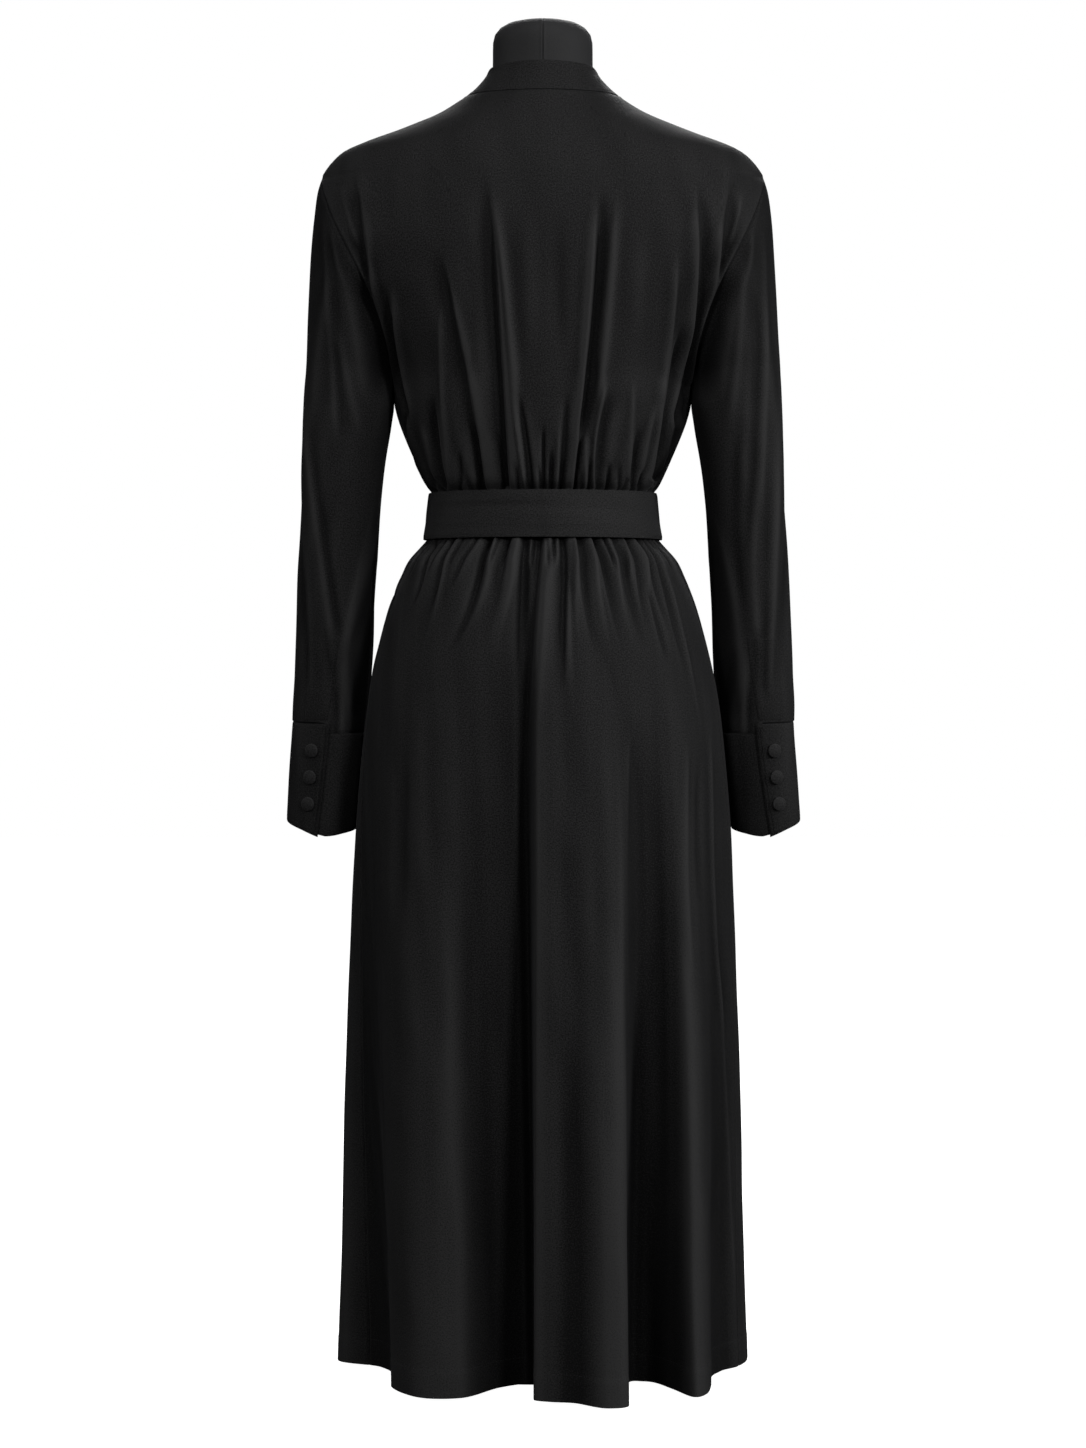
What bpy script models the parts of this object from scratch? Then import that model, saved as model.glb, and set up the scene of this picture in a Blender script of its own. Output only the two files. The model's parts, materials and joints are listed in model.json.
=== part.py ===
"""A long-sleeved wrap dress on a limbless dress form.

The back of the dress faces -Y, the wrapped front faces +Y, and the wearer's right is at +X.
The origin is the centre of the base plate's underside. Sizes and tables are in millimetres,
and MM turns them into Blender's metres.

The dress hangs in level sections. The bodice's sections are quarter ellipses that end at the
side seam, at the armhole or on the shoulder line. The skirt's sections are ellipses, pushed in
and out by folds that start below the waist and reach the hem. Every panel is a wall between
its outer surface and the same surface moved inwards along its own normals.
"""

import math
from collections import namedtuple

import bmesh
import bpy
import numpy as np
from mathutils import Vector

MM = 0.001

# ---- driving sizes ----
CLOTH = 1.5  # wall of the crepe panels
BAND_CLOTH = 2.0  # neckband and cuffs, which are two layers with a stiffener
BELT_CLOTH = 2.2
SEAM_GAP = 0.3  # between two pieces at a seam
LAYER_GAP = 0.8  # between two layers that lie on each other
FRONT_GAP = 2.2  # between the two fronts, which cross at a slant
GATHER_SINK = 3.4  # how much further in the lower layer lies where the upper one is gathered
PRESSED = 0.2  # share of a gather's depth that is left under the belt
PRESSED_END = 14.0  # it has its full depth this far from the belt
FOLD_SWELL = 60.0  # and the back's long folds theirs
UNDER_FROM = 42.0  # the lower front goes down between these distances outside the upper one's edge
UNDER_TO = 13.0
UNDER_CALM = 0.8  # by this share the lower layer's gathers and folds are flattened
BAND_WIDTH = 32.0
BAND_LIFT = 0.3  # the neckband stands this far out of the bodice's surface

WAIST = 805.5  # height of the waist seam, under the middle of the belt
BELT_TOP = 827.5
BELT_BOTTOM = 783.5
HEM = 5.0  # the hem clears the floor by this much
UNDERARM = 928.0
SHOULDER_TIP = 1128.0
NECK_SEAM = 1202.0  # neckband seam at the centre back
NECK_SEAM_RISE = 2.0  # how much higher that seam is at the shoulder line
NECK_EDGE = 1230.4  # top edge of the neckband at the centre back
NECK_EDGE_DROP = 2.4

BUTTON_DIAMETER = 12.5
BUTTON_HEIGHT = 4.6
BUTTONS_PER_CUFF = 3
BUTTON_PITCH = 25.3
BUTTON_TOP = 585.8  # height of the uppermost one
BUTTON_TURN = 376.5  # where they stand on the cuff's turn
BUTTON_CLEAR = 0.35

NORMAL_RISE = 4.0  # normals are taken between points this far above and below
SEAM_STEP = 0.02  # and, at a seam, between these shares to either side
SLOPE_STEP = 2.0  # slopes of the side line are taken over this height to either side
MITRE_LIMIT = 1.3
SLEEVE_COLUMNS = 18
BELT_COLUMNS = 48
FORM_COLUMNS = 22
SKIRT_CLOSEST = 1.8  # columns of the skirt, in degrees
SKIRT_WIDEST = 6.5
MIRROR = np.array([-1.0, 1.0, 1.0])
LEVEL = np.array([1.0, 1.0, 0.0])

BASE_THICKNESS = 10.0
BASE_HALF_WIDTH = 148.0
BASE_HALF_DEPTH = 88.0
BASE_RIM = 2.0  # chamfer of its upper edge
POLE_RADIUS = 16.0
HUB_HEIGHT = 14.0
HUB_RADII = (26.0, 24.0)
HUB_SINK = 3.0  # the hub is made this far into the plate

SKIRT_SEAM = 80.0  # side seams of the skirt, in degrees from the centre back
OVERLAP_EDGE = 208.0  # where the upper front panel of the skirt ends
UNDERLAP_EDGE = 150.0  # where the lower front panel ends, hidden

# Heights of the grid's rows: the bodice's top row follows the neck seam instead.
BODICE_ROWS = (
    *(805.65, 827, 833, 848, 880, 928, 950, 988, 1036, 1084, 1112, 1121),
    *(1128, 1141, 1154, 1167, 1182),
)
SKIRT_ROWS = (5, 190, 370, 520, 620, 685, 727, 755, 774, 784, 805.35)


def columns(names, rows):
    """A short table as its columns, by name."""
    fields = names.split()
    return namedtuple("Table", fields)(*np.array(rows, float).T)


# Bodice sections: side is where a section ends (side seam, armhole or shoulder line), back and
# front are its depths at the centre, seam_back and seam_front are how deep the armhole is open.
BODICE = columns(
    "height side back front seam_back seam_front",
    [
        (805.5, 106.2, 89.6, 86.8, 0, 0),
        (827.5, 104.6, 88.4, 85.4, 0, 0),
        (834, 109.0, 93.0, 90.0, 0, 0),
        (848, 116.0, 97.0, 95.0, 0, 0),
        (862, 122.2, 100.0, 100.5, 0, 0),
        (880, 129.9, 102.5, 108.0, 0, 0),
        (899, 136.9, 104.0, 115.0, 0, 0),
        (914, 140.5, 105.0, 119.0, 0, 0),
        (928, 141.5, 105.3, 121.0, 0, 0),
        (934, 142.0, 105.5, 121.8, 15, 13),
        (950, 144.2, 105.8, 122.8, 29, 25),
        (968, 148.0, 106.0, 122.8, 41, 35),
        (998, 156.5, 106.2, 118.0, 53, 44),
        (1028, 169.0, 106.2, 109.0, 60, 49),
        (1058, 185.0, 105.8, 98.0, 60, 49),
        (1088, 199.0, 104.0, 86.0, 50, 41),
        (1112, 207.2, 100.0, 76.5, 33, 28),
        (1121, 209.2, 98.2, 72.8, 20, 17),
        (1128, 209.7, 96.6, 70.0, 0, 0),
        (1133.5, 205.2, 95.0, 67.5, 0, 0),
        (1140.5, 200.9, 92.3, 64.5, 0, 0),
        (1147, 194.8, 90.0, 62.0, 0, 0),
        (1154, 184.8, 86.5, 59.0, 0, 0),
        (1161, 166.7, 82.8, 56.0, 0, 0),
        (1168.5, 145.4, 78.6, 53.0, 0, 0),
        (1176.5, 124.9, 74.0, 50.5, 0, 0),
        (1183.5, 106.9, 70.0, 48.8, 0, 0),
        (1191.5, 91.2, 65.8, 47.4, 0, 0),
        (1199, 79.8, 62.5, 46.5, 0, 0),
        (1207, 67.9, 60.0, 46.0, 0, 0),
        (1215, 60.0, 58.0, 45.6, 0, 0),
        (1222, 53.8, 56.5, 45.3, 0, 0),
        (1231, 50.2, 55.0, 45.0, 0, 0),
    ],
)

# Skirt sections: half width and the depths at the centre back and centre front.
SKIRT = columns(
    "height side back front",
    [
        (5, 194.3, 150.0, 150.0),
        (60, 192.5, 149.6, 149.6),
        (140, 190.3, 149.0, 148.0),
        (215, 189.0, 148.0, 146.0),
        (290, 187.2, 147.0, 143.0),
        (366, 184.3, 145.5, 139.5),
        (450, 181.0, 143.5, 135.0),
        (520, 177.2, 141.5, 131.0),
        (580, 172.0, 139.5, 127.0),
        (630, 166.0, 137.0, 123.0),
        (651.5, 162.9, 135.0, 120.5),
        (670.5, 159.1, 132.5, 118.0),
        (689.5, 154.4, 129.0, 115.0),
        (708.5, 149.2, 124.5, 111.5),
        (727.5, 143.0, 119.0, 107.5),
        (746.5, 135.4, 112.0, 103.0),
        (765.5, 125.9, 104.0, 98.5),
        (776, 116.5, 98.0, 94.0),
        (784, 109.8, 92.8, 90.3),
        (806, 106.2, 89.6, 86.8),
    ],
)

# The skirt's folds: each row is a crest, a trough or a turn of the hem. It hangs from the angle
# `hang` (degrees from the centre back) and reaches the hem at x, y. It starts at the height
# `top`, and `ease` says how it grows: under 1 it is deep early, over 1 late.
FOLDS = columns(
    "hang x y top ease",
    [
        (-90, -194, -4, 640, 1.2),
        (-76, -146, -26, 640, 1.2),
        (-66, -130, -58, 640, 1.3),
        (-54, -137, -124, 660, 1.4),
        (-45, -113, -162, 680, 1.3),
        (-34, -75, -166, 700, 1.1),
        (-20, -38, -132, 720, 1.0),
        (-11, -21, -122, 770, 0.8),
        (-5.5, -9, -131, 780, 0.75),
        (-1, -4, -172, 780, 0.8),
        (3, 8, -187, 770, 0.9),
        (9, 28, -181, 750, 1.0),
        (17, 58, -208, 700, 1.2),
        (23, 76, -190, 650, 1.2),
        (29, 80, -114, 620, 1.0),
        (33.5, 91, -94, 620, 1.0),
        (41, 117, -148, 640, 1.2),
        (46, 136, -163, 650, 1.3),
        (51, 149, -148, 650, 1.3),
        (56, 153, -112, 650, 1.3),
        (61, 150, -70, 640, 1.3),
        (68, 159, -48, 640, 1.2),
        (79, 181, -28, 640, 1.2),
        (90, 194, 0, 640, 1.2),
        (101, 191, 38, 640, 1.2),
        (112, 160, 66, 660, 1.2),
        (122, 150, 116, 690, 1.2),
        (132, 118, 144, 720, 1.1),
        (142, 86, 116, 740, 0.9),
        (150, 76, 142, 740, 0.9),
        (158, 60, 180, 720, 1.1),
        (168, 27, 186, 720, 1.1),
        (178, 2, 142, 740, 0.9),
        (186, -12, 160, 740, 0.9),
        (194, -34, 192, 720, 1.1),
        (203, -72, 188, 700, 1.2),
        (212, -97, 160, 680, 1.2),
        (221, -105, 120, 680, 1.2),
        (230, -136, 128, 680, 1.2),
        (240, -162, 100, 670, 1.2),
        (250, -160, 62, 650, 1.2),
        (260, -187, 38, 640, 1.2),
    ],
)

# Gathers of the skirt under the belt: troughs at an angle, with the length that they reach down.
SKIRT_GATHERS = columns(
    "hang reach depth",
    [
        (-76, 60, 2.2),
        (-66, 75, 2.4),
        (-56.5, 65, 2.2),
        (-47, 110, 3.2),
        (-38, 45, 2.0),
        (-28, 115, 3.8),
        (-18, 65, 3.2),
        (-9, 130, 3.8),
        (-1.5, 110, 4.0),
        (10, 160, 4.2),
        (18, 50, 2.4),
        (25, 80, 3.0),
        (33, 95, 3.0),
        (43, 70, 2.8),
        (54, 100, 3.0),
        (65, 75, 2.4),
        (76, 60, 2.2),
    ],
)
SKIRT_GATHER_WIDTH = 5.2
GATHER_SPREAD = 1.6  # a gather is this much wider where it ends, times its width at the belt
FRONT_TURN = 183.0  # the front's gathers repeat the back's, turned about this angle

# Gathers of the bodice above the belt: troughs by their share of the half width.
BODICE_GATHERS = columns(
    "share reach depth",
    [
        (-0.88, 40, 2.0),
        (-0.75, 55, 2.6),
        (-0.61, 70, 2.8),
        (-0.445, 80, 3.0),
        (-0.34, 75, 3.4),
        (-0.213, 90, 3.8),
        (-0.085, 60, 3.2),
        (0.01, 70, 2.8),
        (0.09, 60, 3.0),
        (0.175, 80, 3.4),
        (0.26, 95, 3.4),
        (0.385, 60, 2.6),
        (0.505, 90, 3.2),
        (0.62, 70, 2.8),
        (0.79, 60, 2.6),
        (0.9, 40, 2.0),
    ],
)
BODICE_GATHER_WIDTH = 4.8

# Long soft folds of the back: share of the half width at the belt and at the top, height of the
# top, half width and how far they stand out (negative: in).
BACK_FOLDS = columns(
    "share_low share_top top width rise",
    [
        (-0.150, -0.185, 1095, 8, 4.5),
        (-0.213, -0.225, 1090, 9, -5.0),
        (0.150, 0.205, 1095, 8, 4.5),
        (0.205, 0.250, 1060, 9, -5.5),
        (0.262, 0.287, 1095, 8, 3.5),
        (-0.330, -0.530, 1040, 11, -4.0),
        (-0.570, -0.540, 1010, 8, 2.5),
        (0.540, 0.640, 1040, 9, 3.0),
        (0.700, 0.600, 1060, 9, -4.0),
        (0.780, 0.780, 1080, 9, 4.0),
        (0.030, 0.060, 1060, 10, -2.5),
        (-0.780, -0.860, 1095, 13, 5.0),
        (0.790, 0.860, 1095, 13, 5.0),
    ],
)

FRONT_FOLDS = columns(
    "share_low share_top top width rise",
    [
        (-0.790, -0.860, 1095, 13, 4.0),
        (-0.740, -0.640, 1040, 10, 3.0),
        (-0.640, -0.540, 1020, 10, -2.5),
        (0.640, 0.540, 1020, 10, -2.5),
        (0.740, 0.640, 1040, 10, 3.0),
        (0.790, 0.860, 1095, 13, 4.0),
    ],
)

# Neckband on the right front: x of its seam with the bodice, and its free edge, by the seam's height.
NECKBAND = columns(
    "height seam_x edge_x edge_z",
    [
        (805.65, -37.0, -69.0, 805.65),
        (832, -30.0, -62.0, 835),
        (880, -14.0, -45.0, 889),
        (930, 5.0, -25.5, 941),
        (980, 22.0, -8.5, 991),
        (1030, 38.0, 8.0, 1040),
        (1075, 50.0, 19.5, 1083.5),
        (1115, 59.0, 28.5, 1123.5),
        (1150, 66.0, 36.5, 1163),
        (1175, 71.0, 44.0, 1196),
        (1190, 74.3, 49.0, 1214),
        (1196, 76.0, 50.8, 1221),
        (1204, 78.0, 52.8, 1228),
    ],
)
NECK_CORNER = 1190.0  # height at which the front's neck seam turns down from its top row

# Sleeve sections below the underarm: outermost and innermost x, half depth, centre y.
SLEEVE = columns(
    "height outer inner half_depth centre",
    [
        (595, 237.8, 171.0, 36.2, 22.4),
        (601, 237.6, 170.5, 36.5, 22),
        (632, 236.6, 166.5, 38.5, 20),
        (670, 235.6, 163.2, 40.0, 17),
        (727, 233.8, 160.0, 41.5, 12),
        (765, 232.8, 157.2, 42.5, 9),
        (822, 230.4, 153.4, 44.0, 4),
        (860, 229.0, 149.0, 45.0, 1),
        (898, 227.5, 143.9, 46.0, -1),
        (928, 226.0, 142.0, 47.0, -1.5),
    ],
)

# Sleeve cap above the underarm: outermost x and the angle at which its section meets the armhole.
SLEEVE_CAP = columns(
    "height outer meets",
    [
        (928, 226.0, 0),
        (934, 225.7, 18),
        (950, 225.0, 34),
        (968, 224.0, 50),
        (998, 222.6, 72),
        (1028, 221.0, 95),
        (1058, 219.2, 115),
        (1088, 216.8, 133),
        (1112, 213.6, 147),
        (1121, 211.6, 158),
    ],
)
SLEEVE_ROWS = (622, 652, 692, 742, 800, 860, 902, 928, 950, 988, 1036, 1084, 1112)
CROWN_START = 1121.0  # the sleeve's last row goes from here over the shoulder tip
CROWN_CLEAR = 0.4  # clear of the bodice's edge there
CROWN_LOW = 0.5  # and this far under the tip
ARMHOLE_CLEAR = 0.36
ARMHOLE_START = 8.0  # the sleeve opens into the armhole over this height above the underarm

# Soft folds of a sleeve: angle round it at the bottom and at the top, the heights, width, rise.
SLEEVE_FOLDS = columns(
    "angle_low angle_top low top width rise",
    [
        (100, 165, 690, 940, 9, 2.2),
        (118, 190, 640, 860, 11, -2.6),
        (60, 30, 620, 760, 11, 2.0),
        (75, 95, 610, 700, 6, -1.8),
        (45, 60, 610, 680, 6, -1.6),
        (140, 120, 880, 1090, 9, 2.4),
        (250, 215, 640, 900, 12, -2.4),
        (285, 300, 610, 700, 6, -1.6),
        (230, 240, 900, 1080, 10, 2.2),
    ],
)

# Lower edge of the sleeve and both edges of the cuff, by the angle round the arm: 0 faces the
# body, 90 the back, 180 outwards. The cuff starts under its own end and runs round to it.
SLEEVE_EDGE = columns(
    "angle height",
    [(0, 601.2), (84, 600.7), (97, 609.7), (140, 611), (180, 611.8), (270, 604.9), (360, 601.2)],
)
CUFF = columns(
    "turn top bottom",
    [
        (0, 599.7, 503.5),
        (33, 599.7, 502.5),
        (80, 600.1, 504.5),
        (125, 600.6, 508.5),
        (215, 604.1, 513.0),
        (305, 611.1, 516.5),
        (355, 609.6, 510.5),
        (393, 609.0, 502.5),
    ],
)
CUFF_START = 125.0  # angle of the hidden end
CUFF_OUTER = 242.7
CUFF_INNER = 180.5
CUFF_HALF_DEPTH = 34.0
CUFF_CENTRE = 30.0
CUFF_BOTTOM = 506.0
CUFF_TOP = 601.0
CUFF_LIFT = BAND_CLOTH + 0.6  # the overlapping end lies this far out
CUFF_LAP = (290.0, 345.0)  # it goes out between these turns
PLACKET = (93.5, 129.0, 614.0, 690.0)  # angles and heights of the sleeve's placket strip
PLACKET_CLOTH = 1.1
PLACKET_LIFT = 0.8

BELT = columns(
    "height side back front",
    [(783.5, 113.5, 96.5, 94.0), (805.5, 110.6, 93.9, 91.1), (827.5, 108.3, 92.0, 89.0)],
)
KNOT_ANGLE = 207.0  # where the belt is tied, over the edge of the wrap
KNOT_SIZE = (21.0, 12.5, 24.5)  # half width, half depth, half height
KNOT_SQUARE = 4.0  # 2 makes an ellipsoid, more a rounder box
KNOT_BACK = 0.2  # share of the half depth that is left behind its middle
KNOT_CLEAR = 3.4  # between that flat back and the belt's outer face at its middle
# The belt's free ends: where each hangs, how far it leans per millimetre of drop, its length and
# width, and how far it lies out over what is under it.
BELT_ENDS = columns(
    "angle lean length width lift",
    [(203.0, 0.08, 455.0, 44.0, 0.0), (214.0, -0.06, 400.0, 44.0, 4.0)],
)
KNOT_DROP = 2.8  # they come out of the knot this far under the belt
END_PINCH = 0.45  # and there have this share of their width
END_OPEN = 60.0  # which is back at this distance
END_SET = 40.0  # the skirt's section at this distance gives the way that they face
END_PROBE = 25.0  # degrees to either side where the skirt is felt for what carries them
END_MARGIN = 3.0
END_CLEAR = 1.6
END_ROWS = 12

# The form below its shoulders: half width, back and front depth.
FORM_BODY = columns(
    "height side back front",
    [
        (548, 118, 84, 74),
        (555, 138, 102, 88),
        (575, 149, 114, 97),
        (620, 150, 119, 101),
        (690, 137, 114, 98),
        (740, 117, 98, 88),
        (775, 98, 81, 74),
        (805, 93.5, 77, 69.5),
        (840, 96, 78, 71.5),
        (885, 113, 84, 88),
        (935, 129, 88, 103.5),
        (985, 142, 93, 107),
        (1035, 155, 98, 95),
        (1085, 174, 98.5, 79),
        (1116, 184.5, 95, 66.5),
    ],
)
FORM_SHOULDER = (1133, 1141, 1150, 1160, 1171, 1183, 1198)  # heights where the dress rests on it
FORM_DROP = 3.1  # there the form lies this far below the dress's outer face
FORM_NECK = columns(
    "height side back front",
    [
        (1213, 53.5, 54.0, 42.3),
        (1228, 47.7, 50.6, 41.4),
        (1255, 47.0, 50, 41),
        (1263, 43.5, 46.5, 38),
        (1268.5, 35, 38, 31),
        (1271.5, 20, 22, 18),
    ],
)


# ---- smooth curves through tables ----
class Curve:
    """A smooth curve through rows of (at, value); `tight` keeps it from overshooting them."""

    def __init__(self, at, value, tight=True):
        order = np.argsort(at)
        self.at = np.asarray(at, float)[order]
        self.value = np.asarray(value, float)[order]
        step = np.diff(self.at)
        rise = np.diff(self.value) / step
        slope = np.empty_like(self.value)
        slope[1:-1] = (rise[:-1] * step[1:] + rise[1:] * step[:-1]) / (step[:-1] + step[1:])
        slope[0], slope[-1] = rise[0], rise[-1]
        if tight:
            flat = rise[:-1] * rise[1:] <= 0
            slope[1:-1][flat] = 0
            limit = 3 * np.minimum(np.abs(rise[:-1]), np.abs(rise[1:]))
            slope[1:-1] = np.clip(slope[1:-1], -limit, limit)
        self.slope = slope

    def __call__(self, x):
        x = np.clip(np.asarray(x, float), self.at[0], self.at[-1])
        i = np.clip(np.searchsorted(self.at, x, side="right") - 1, 0, len(self.at) - 2)
        step = self.at[i + 1] - self.at[i]
        t = (x - self.at[i]) / step
        return (
            (1 + 2 * t) * (1 - t) ** 2 * self.value[i]
            + t * (1 - t) ** 2 * step * self.slope[i]
            + t * t * (3 - 2 * t) * self.value[i + 1]
            + t * t * (t - 1) * step * self.slope[i + 1]
        )


def ramp(x, start, end):
    """0 before start, 1 after end, smooth between."""
    t = np.clip((np.asarray(x, float) - start) / (end - start), 0, 1)
    return t * t * (3 - 2 * t)


def curves(table):
    """One Curve for each column of a table, against its first column."""
    fields = table._fields[1:]
    return namedtuple("Curves", fields)(*(Curve(table[0], getattr(table, f)) for f in fields))


BODICE_AT = curves(BODICE)
SKIRT_AT = curves(SKIRT)
BELT_AT = curves(BELT)
SLEEVE_AT = curves(SLEEVE)
CAP_AT = curves(SLEEVE_CAP)
SLEEVE_EDGE_AT = curves(SLEEVE_EDGE)
NECKBAND_AT = curves(NECKBAND)
EDGE_X_AT = Curve(NECKBAND.edge_z, NECKBAND.edge_x)
CUFF_AT = curves(CUFF)


# ---- the bodice's surface ----
def section_half(z, face):
    """Depth at the centre, end angle and width of a half section's ellipse; face is -1 for the back."""
    depth = BODICE_AT.back(z) if face < 0 else BODICE_AT.front(z)
    open_by = BODICE_AT.seam_back(z) if face < 0 else BODICE_AT.seam_front(z)
    end = np.arccos(np.clip(open_by / depth, 0, 1))
    return depth, end, BODICE_AT.side(z) / np.sin(end)


def gather_dip(distance, width):
    """Profile of a gather or fold across its line: 1 on it, 0 away from it."""
    return np.exp(-((distance / width) ** 2))


def bodice_relief(share, z, face, depth_share):
    """How far the gathers and folds move the bodice out, in mm."""
    depth, end, wide = section_half(z, face)
    half_length = end * 0.5 * (depth + wide)
    free = PRESSED + (1 - PRESSED) * ramp(z, BELT_TOP, BELT_TOP + PRESSED_END)
    total = 0.0
    mirror = 1.0 if face < 0 else -1.0
    for at, reach, dip in zip(*BODICE_GATHERS):
        t = np.clip((z - BELT_TOP) / reach, 0, 1)
        width = BODICE_GATHER_WIDTH * (1 + GATHER_SPREAD * t)
        across = (share - mirror * at) * half_length
        total = total - dip * (1 - t) ** 1.4 * gather_dip(across, width)
    total = total * free * depth_share
    for low, high, top, width, rise in zip(*(BACK_FOLDS if face < 0 else FRONT_FOLDS)):
        t = np.clip((z - WAIST) / (top - WAIST), 0, 1)
        line = low + (high - low) * t
        swell = ramp(z, BELT_TOP, BELT_TOP + FOLD_SWELL) * (1 - t**2)
        across = (share - line) * half_length
        total = total + rise * swell * gather_dip(across, width)
    return total * ramp(1 - np.abs(share), 0, 0.1)


def bodice_point(share, z, face, depth_share=1.0):
    """Point of the bodice: share runs from -1 to 1 across the back or the front."""
    share, z = np.broadcast_arrays(np.asarray(share, float), np.asarray(z, float))
    depth, end, wide = section_half(z, face)
    angle = share * end
    out = bodice_relief(share, z, face, depth_share)
    length = np.hypot(np.sin(angle) / wide, np.cos(angle) / depth)
    x = wide * np.sin(angle) + out * np.sin(angle) / wide / length
    y = depth * np.cos(angle) + out * np.cos(angle) / depth / length
    return np.stack([x, face * y, z], axis=-1)


def share_at(x, z, face):
    """Share across the bodice at which its surface has this x."""
    _, end, wide = section_half(z, face)
    return np.arcsin(np.clip(np.asarray(x, float) / wide, -1, 1)) / end


# ---- the skirt's surface ----
def fold_fields():
    """Curves over the hang angle for each fold's sideways and outward reach, start and ease."""
    angle = FOLDS.hang
    radians = np.radians(angle)
    hem_x = SKIRT.side[0] * np.sin(radians)
    hem_y = -SKIRT.back[0] * np.cos(radians)
    around = np.concatenate([angle - 360, angle, angle + 360])
    return [
        Curve(around, np.tile(values, 3), tight=False)
        for values in (FOLDS.x - hem_x, FOLDS.y - hem_y)
    ] + [Curve(around, np.tile(values, 3)) for values in (FOLDS.top, FOLDS.ease)]


FOLD_X, FOLD_Y, FOLD_TOP, FOLD_EASE = fold_fields()


def skirt_gathers(angle, z, depth_share):
    """How far the gathers move the skirt in under the belt."""
    radius = 0.5 * (SKIRT_AT.side(z) + SKIRT_AT.back(z))
    free = PRESSED + (1 - PRESSED) * ramp(BELT_BOTTOM - z, 0, PRESSED_END)
    total = 0.0
    for turn, flip in ((0.0, 1.0), (FRONT_TURN, -1.0)):
        for hang, reach, dip in zip(*SKIRT_GATHERS):
            away = (angle - turn - flip * hang + 180) % 360 - 180
            t = np.clip((BELT_BOTTOM - z) / reach, 0, 1)
            width = SKIRT_GATHER_WIDTH * (1 + GATHER_SPREAD * t)
            total = total - dip * (1 - t) ** 1.3 * gather_dip(np.radians(away) * radius, width)
    return total * free * depth_share


def skirt_point(angle, z, depth_share=1.0):
    """Point of the skirt at an angle in degrees from the centre back, towards +X."""
    angle, z = np.broadcast_arrays(np.asarray(angle, float), np.asarray(z, float))
    radians = np.radians(angle)
    side = SKIRT_AT.side(z)
    depth = np.where(np.cos(radians) > 0, SKIRT_AT.back(z), SKIRT_AT.front(z))
    out = skirt_gathers(angle, z, depth_share)
    length = np.hypot(np.sin(radians) / side, np.cos(radians) / depth)
    x = side * np.sin(radians) + out * np.sin(radians) / side / length
    y = -depth * np.cos(radians) - out * np.cos(radians) / depth / length
    wrapped = (angle + 90) % 360 - 90
    top = FOLD_TOP(wrapped)
    grown = np.clip((top - z) / (top - HEM), 0, 1) ** FOLD_EASE(wrapped)
    return np.stack([x + grown * FOLD_X(wrapped), y + grown * FOLD_Y(wrapped), z], axis=-1)


# ---- walls ----
def surface_normals(surface, u, v, step_u, step_v=NORMAL_RISE):
    """Outward unit normals of surface(u, v), for u to the right seen from outside and v up."""
    along = surface(u + step_u, v) - surface(u - step_u, v)
    up = surface(u, v + step_v) - surface(u, v - step_v)
    return unit(np.cross(along, up))


def unit(vectors):
    """The vectors at a length of 1."""
    return vectors / np.linalg.norm(vectors, axis=-1, keepdims=True)


def spacing(u):
    """Spacing of a grid's columns, so that normals suit the grid."""
    return np.abs(np.gradient(u, axis=1))


def mitre(one, other):
    """Vector from which two panels that meet take their common way inwards."""
    both = (one + other) / np.maximum(1 + np.sum(one * other, axis=-1, keepdims=True), 0.8)
    length = np.linalg.norm(both, axis=-1, keepdims=True)
    return both * np.minimum(1.0, MITRE_LIMIT / length)


def halves(keys):
    """The places halfway between sorted neighbours."""
    keys = np.sort(keys)
    return 0.5 * (keys[:-1] + keys[1:])


def column_places(keys, start, end, closest, widest):
    """Columns at the keys, first come first served, and more wherever a gap is still too wide."""
    kept = [start, end]
    for place in keys:
        if start < place < end and min(abs(place - other) for other in kept) >= closest:
            kept.append(place)
    kept.sort()
    filled = [kept[0]]
    for place in kept[1:]:
        last = filled[-1]
        pieces = math.ceil((place - last) / widest - 1e-6)
        filled += [last + (place - last) * (k + 1) / pieces for k in range(pieces)]
    return np.array(filled)


def add_object(name, vertices, faces, material, parent):
    """A mesh object from millimetre points, with its faces turned outwards."""
    mesh = bpy.data.meshes.new(name)
    bm = bmesh.new()
    for point in vertices:
        bm.verts.new(Vector(point) * MM)
    bm.verts.ensure_lookup_table()
    for face in faces:
        bm.faces.new([bm.verts[i] for i in face])
    bmesh.ops.recalc_face_normals(bm, faces=bm.faces)
    bm.to_mesh(mesh)
    bm.free()
    mesh.shade_smooth()
    mesh.set_sharp_from_angle(angle=math.radians(50))
    mesh.materials.append(material)
    built = bpy.data.objects.new(name, mesh)
    bpy.context.scene.collection.objects.link(built)
    built.parent = parent
    return built


def grid_faces(ids):
    """Quads between neighbouring rows of vertex numbers."""
    return [
        (row[j], row[j + 1], above[j + 1], above[j])
        for row, above in zip(ids[:-1], ids[1:])
        for j in range(len(row) - 1)
    ]


def split_quads(quads, points):
    """Triangles of the quads, each split along its shorter diagonal."""
    triangles = []
    for a, b, c, d in quads:
        if np.linalg.norm(points[a] - points[c]) <= np.linalg.norm(points[b] - points[d]):
            triangles += [(a, b, c), (a, c, d)]
        else:
            triangles += [(a, b, d), (b, c, d)]
    return triangles


def add_wall(name, outer, inner, ids, material, parent):
    """A closed wall between an outer and an inner sheet that share their vertex numbers."""
    count = len(outer)
    quads = grid_faces(ids)
    edges = {(quad[k], quad[(k + 1) % 4]) for quad in quads for k in range(4)}
    rim = [(b, a, a + count, b + count) for a, b in edges if (b, a) not in edges]
    faces = split_quads(quads, outer)
    lining = [tuple(i + count for i in reversed(face)) for face in faces]
    return add_object(name, np.vstack([outer, inner]), faces + lining + rim, material, parent)


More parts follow.
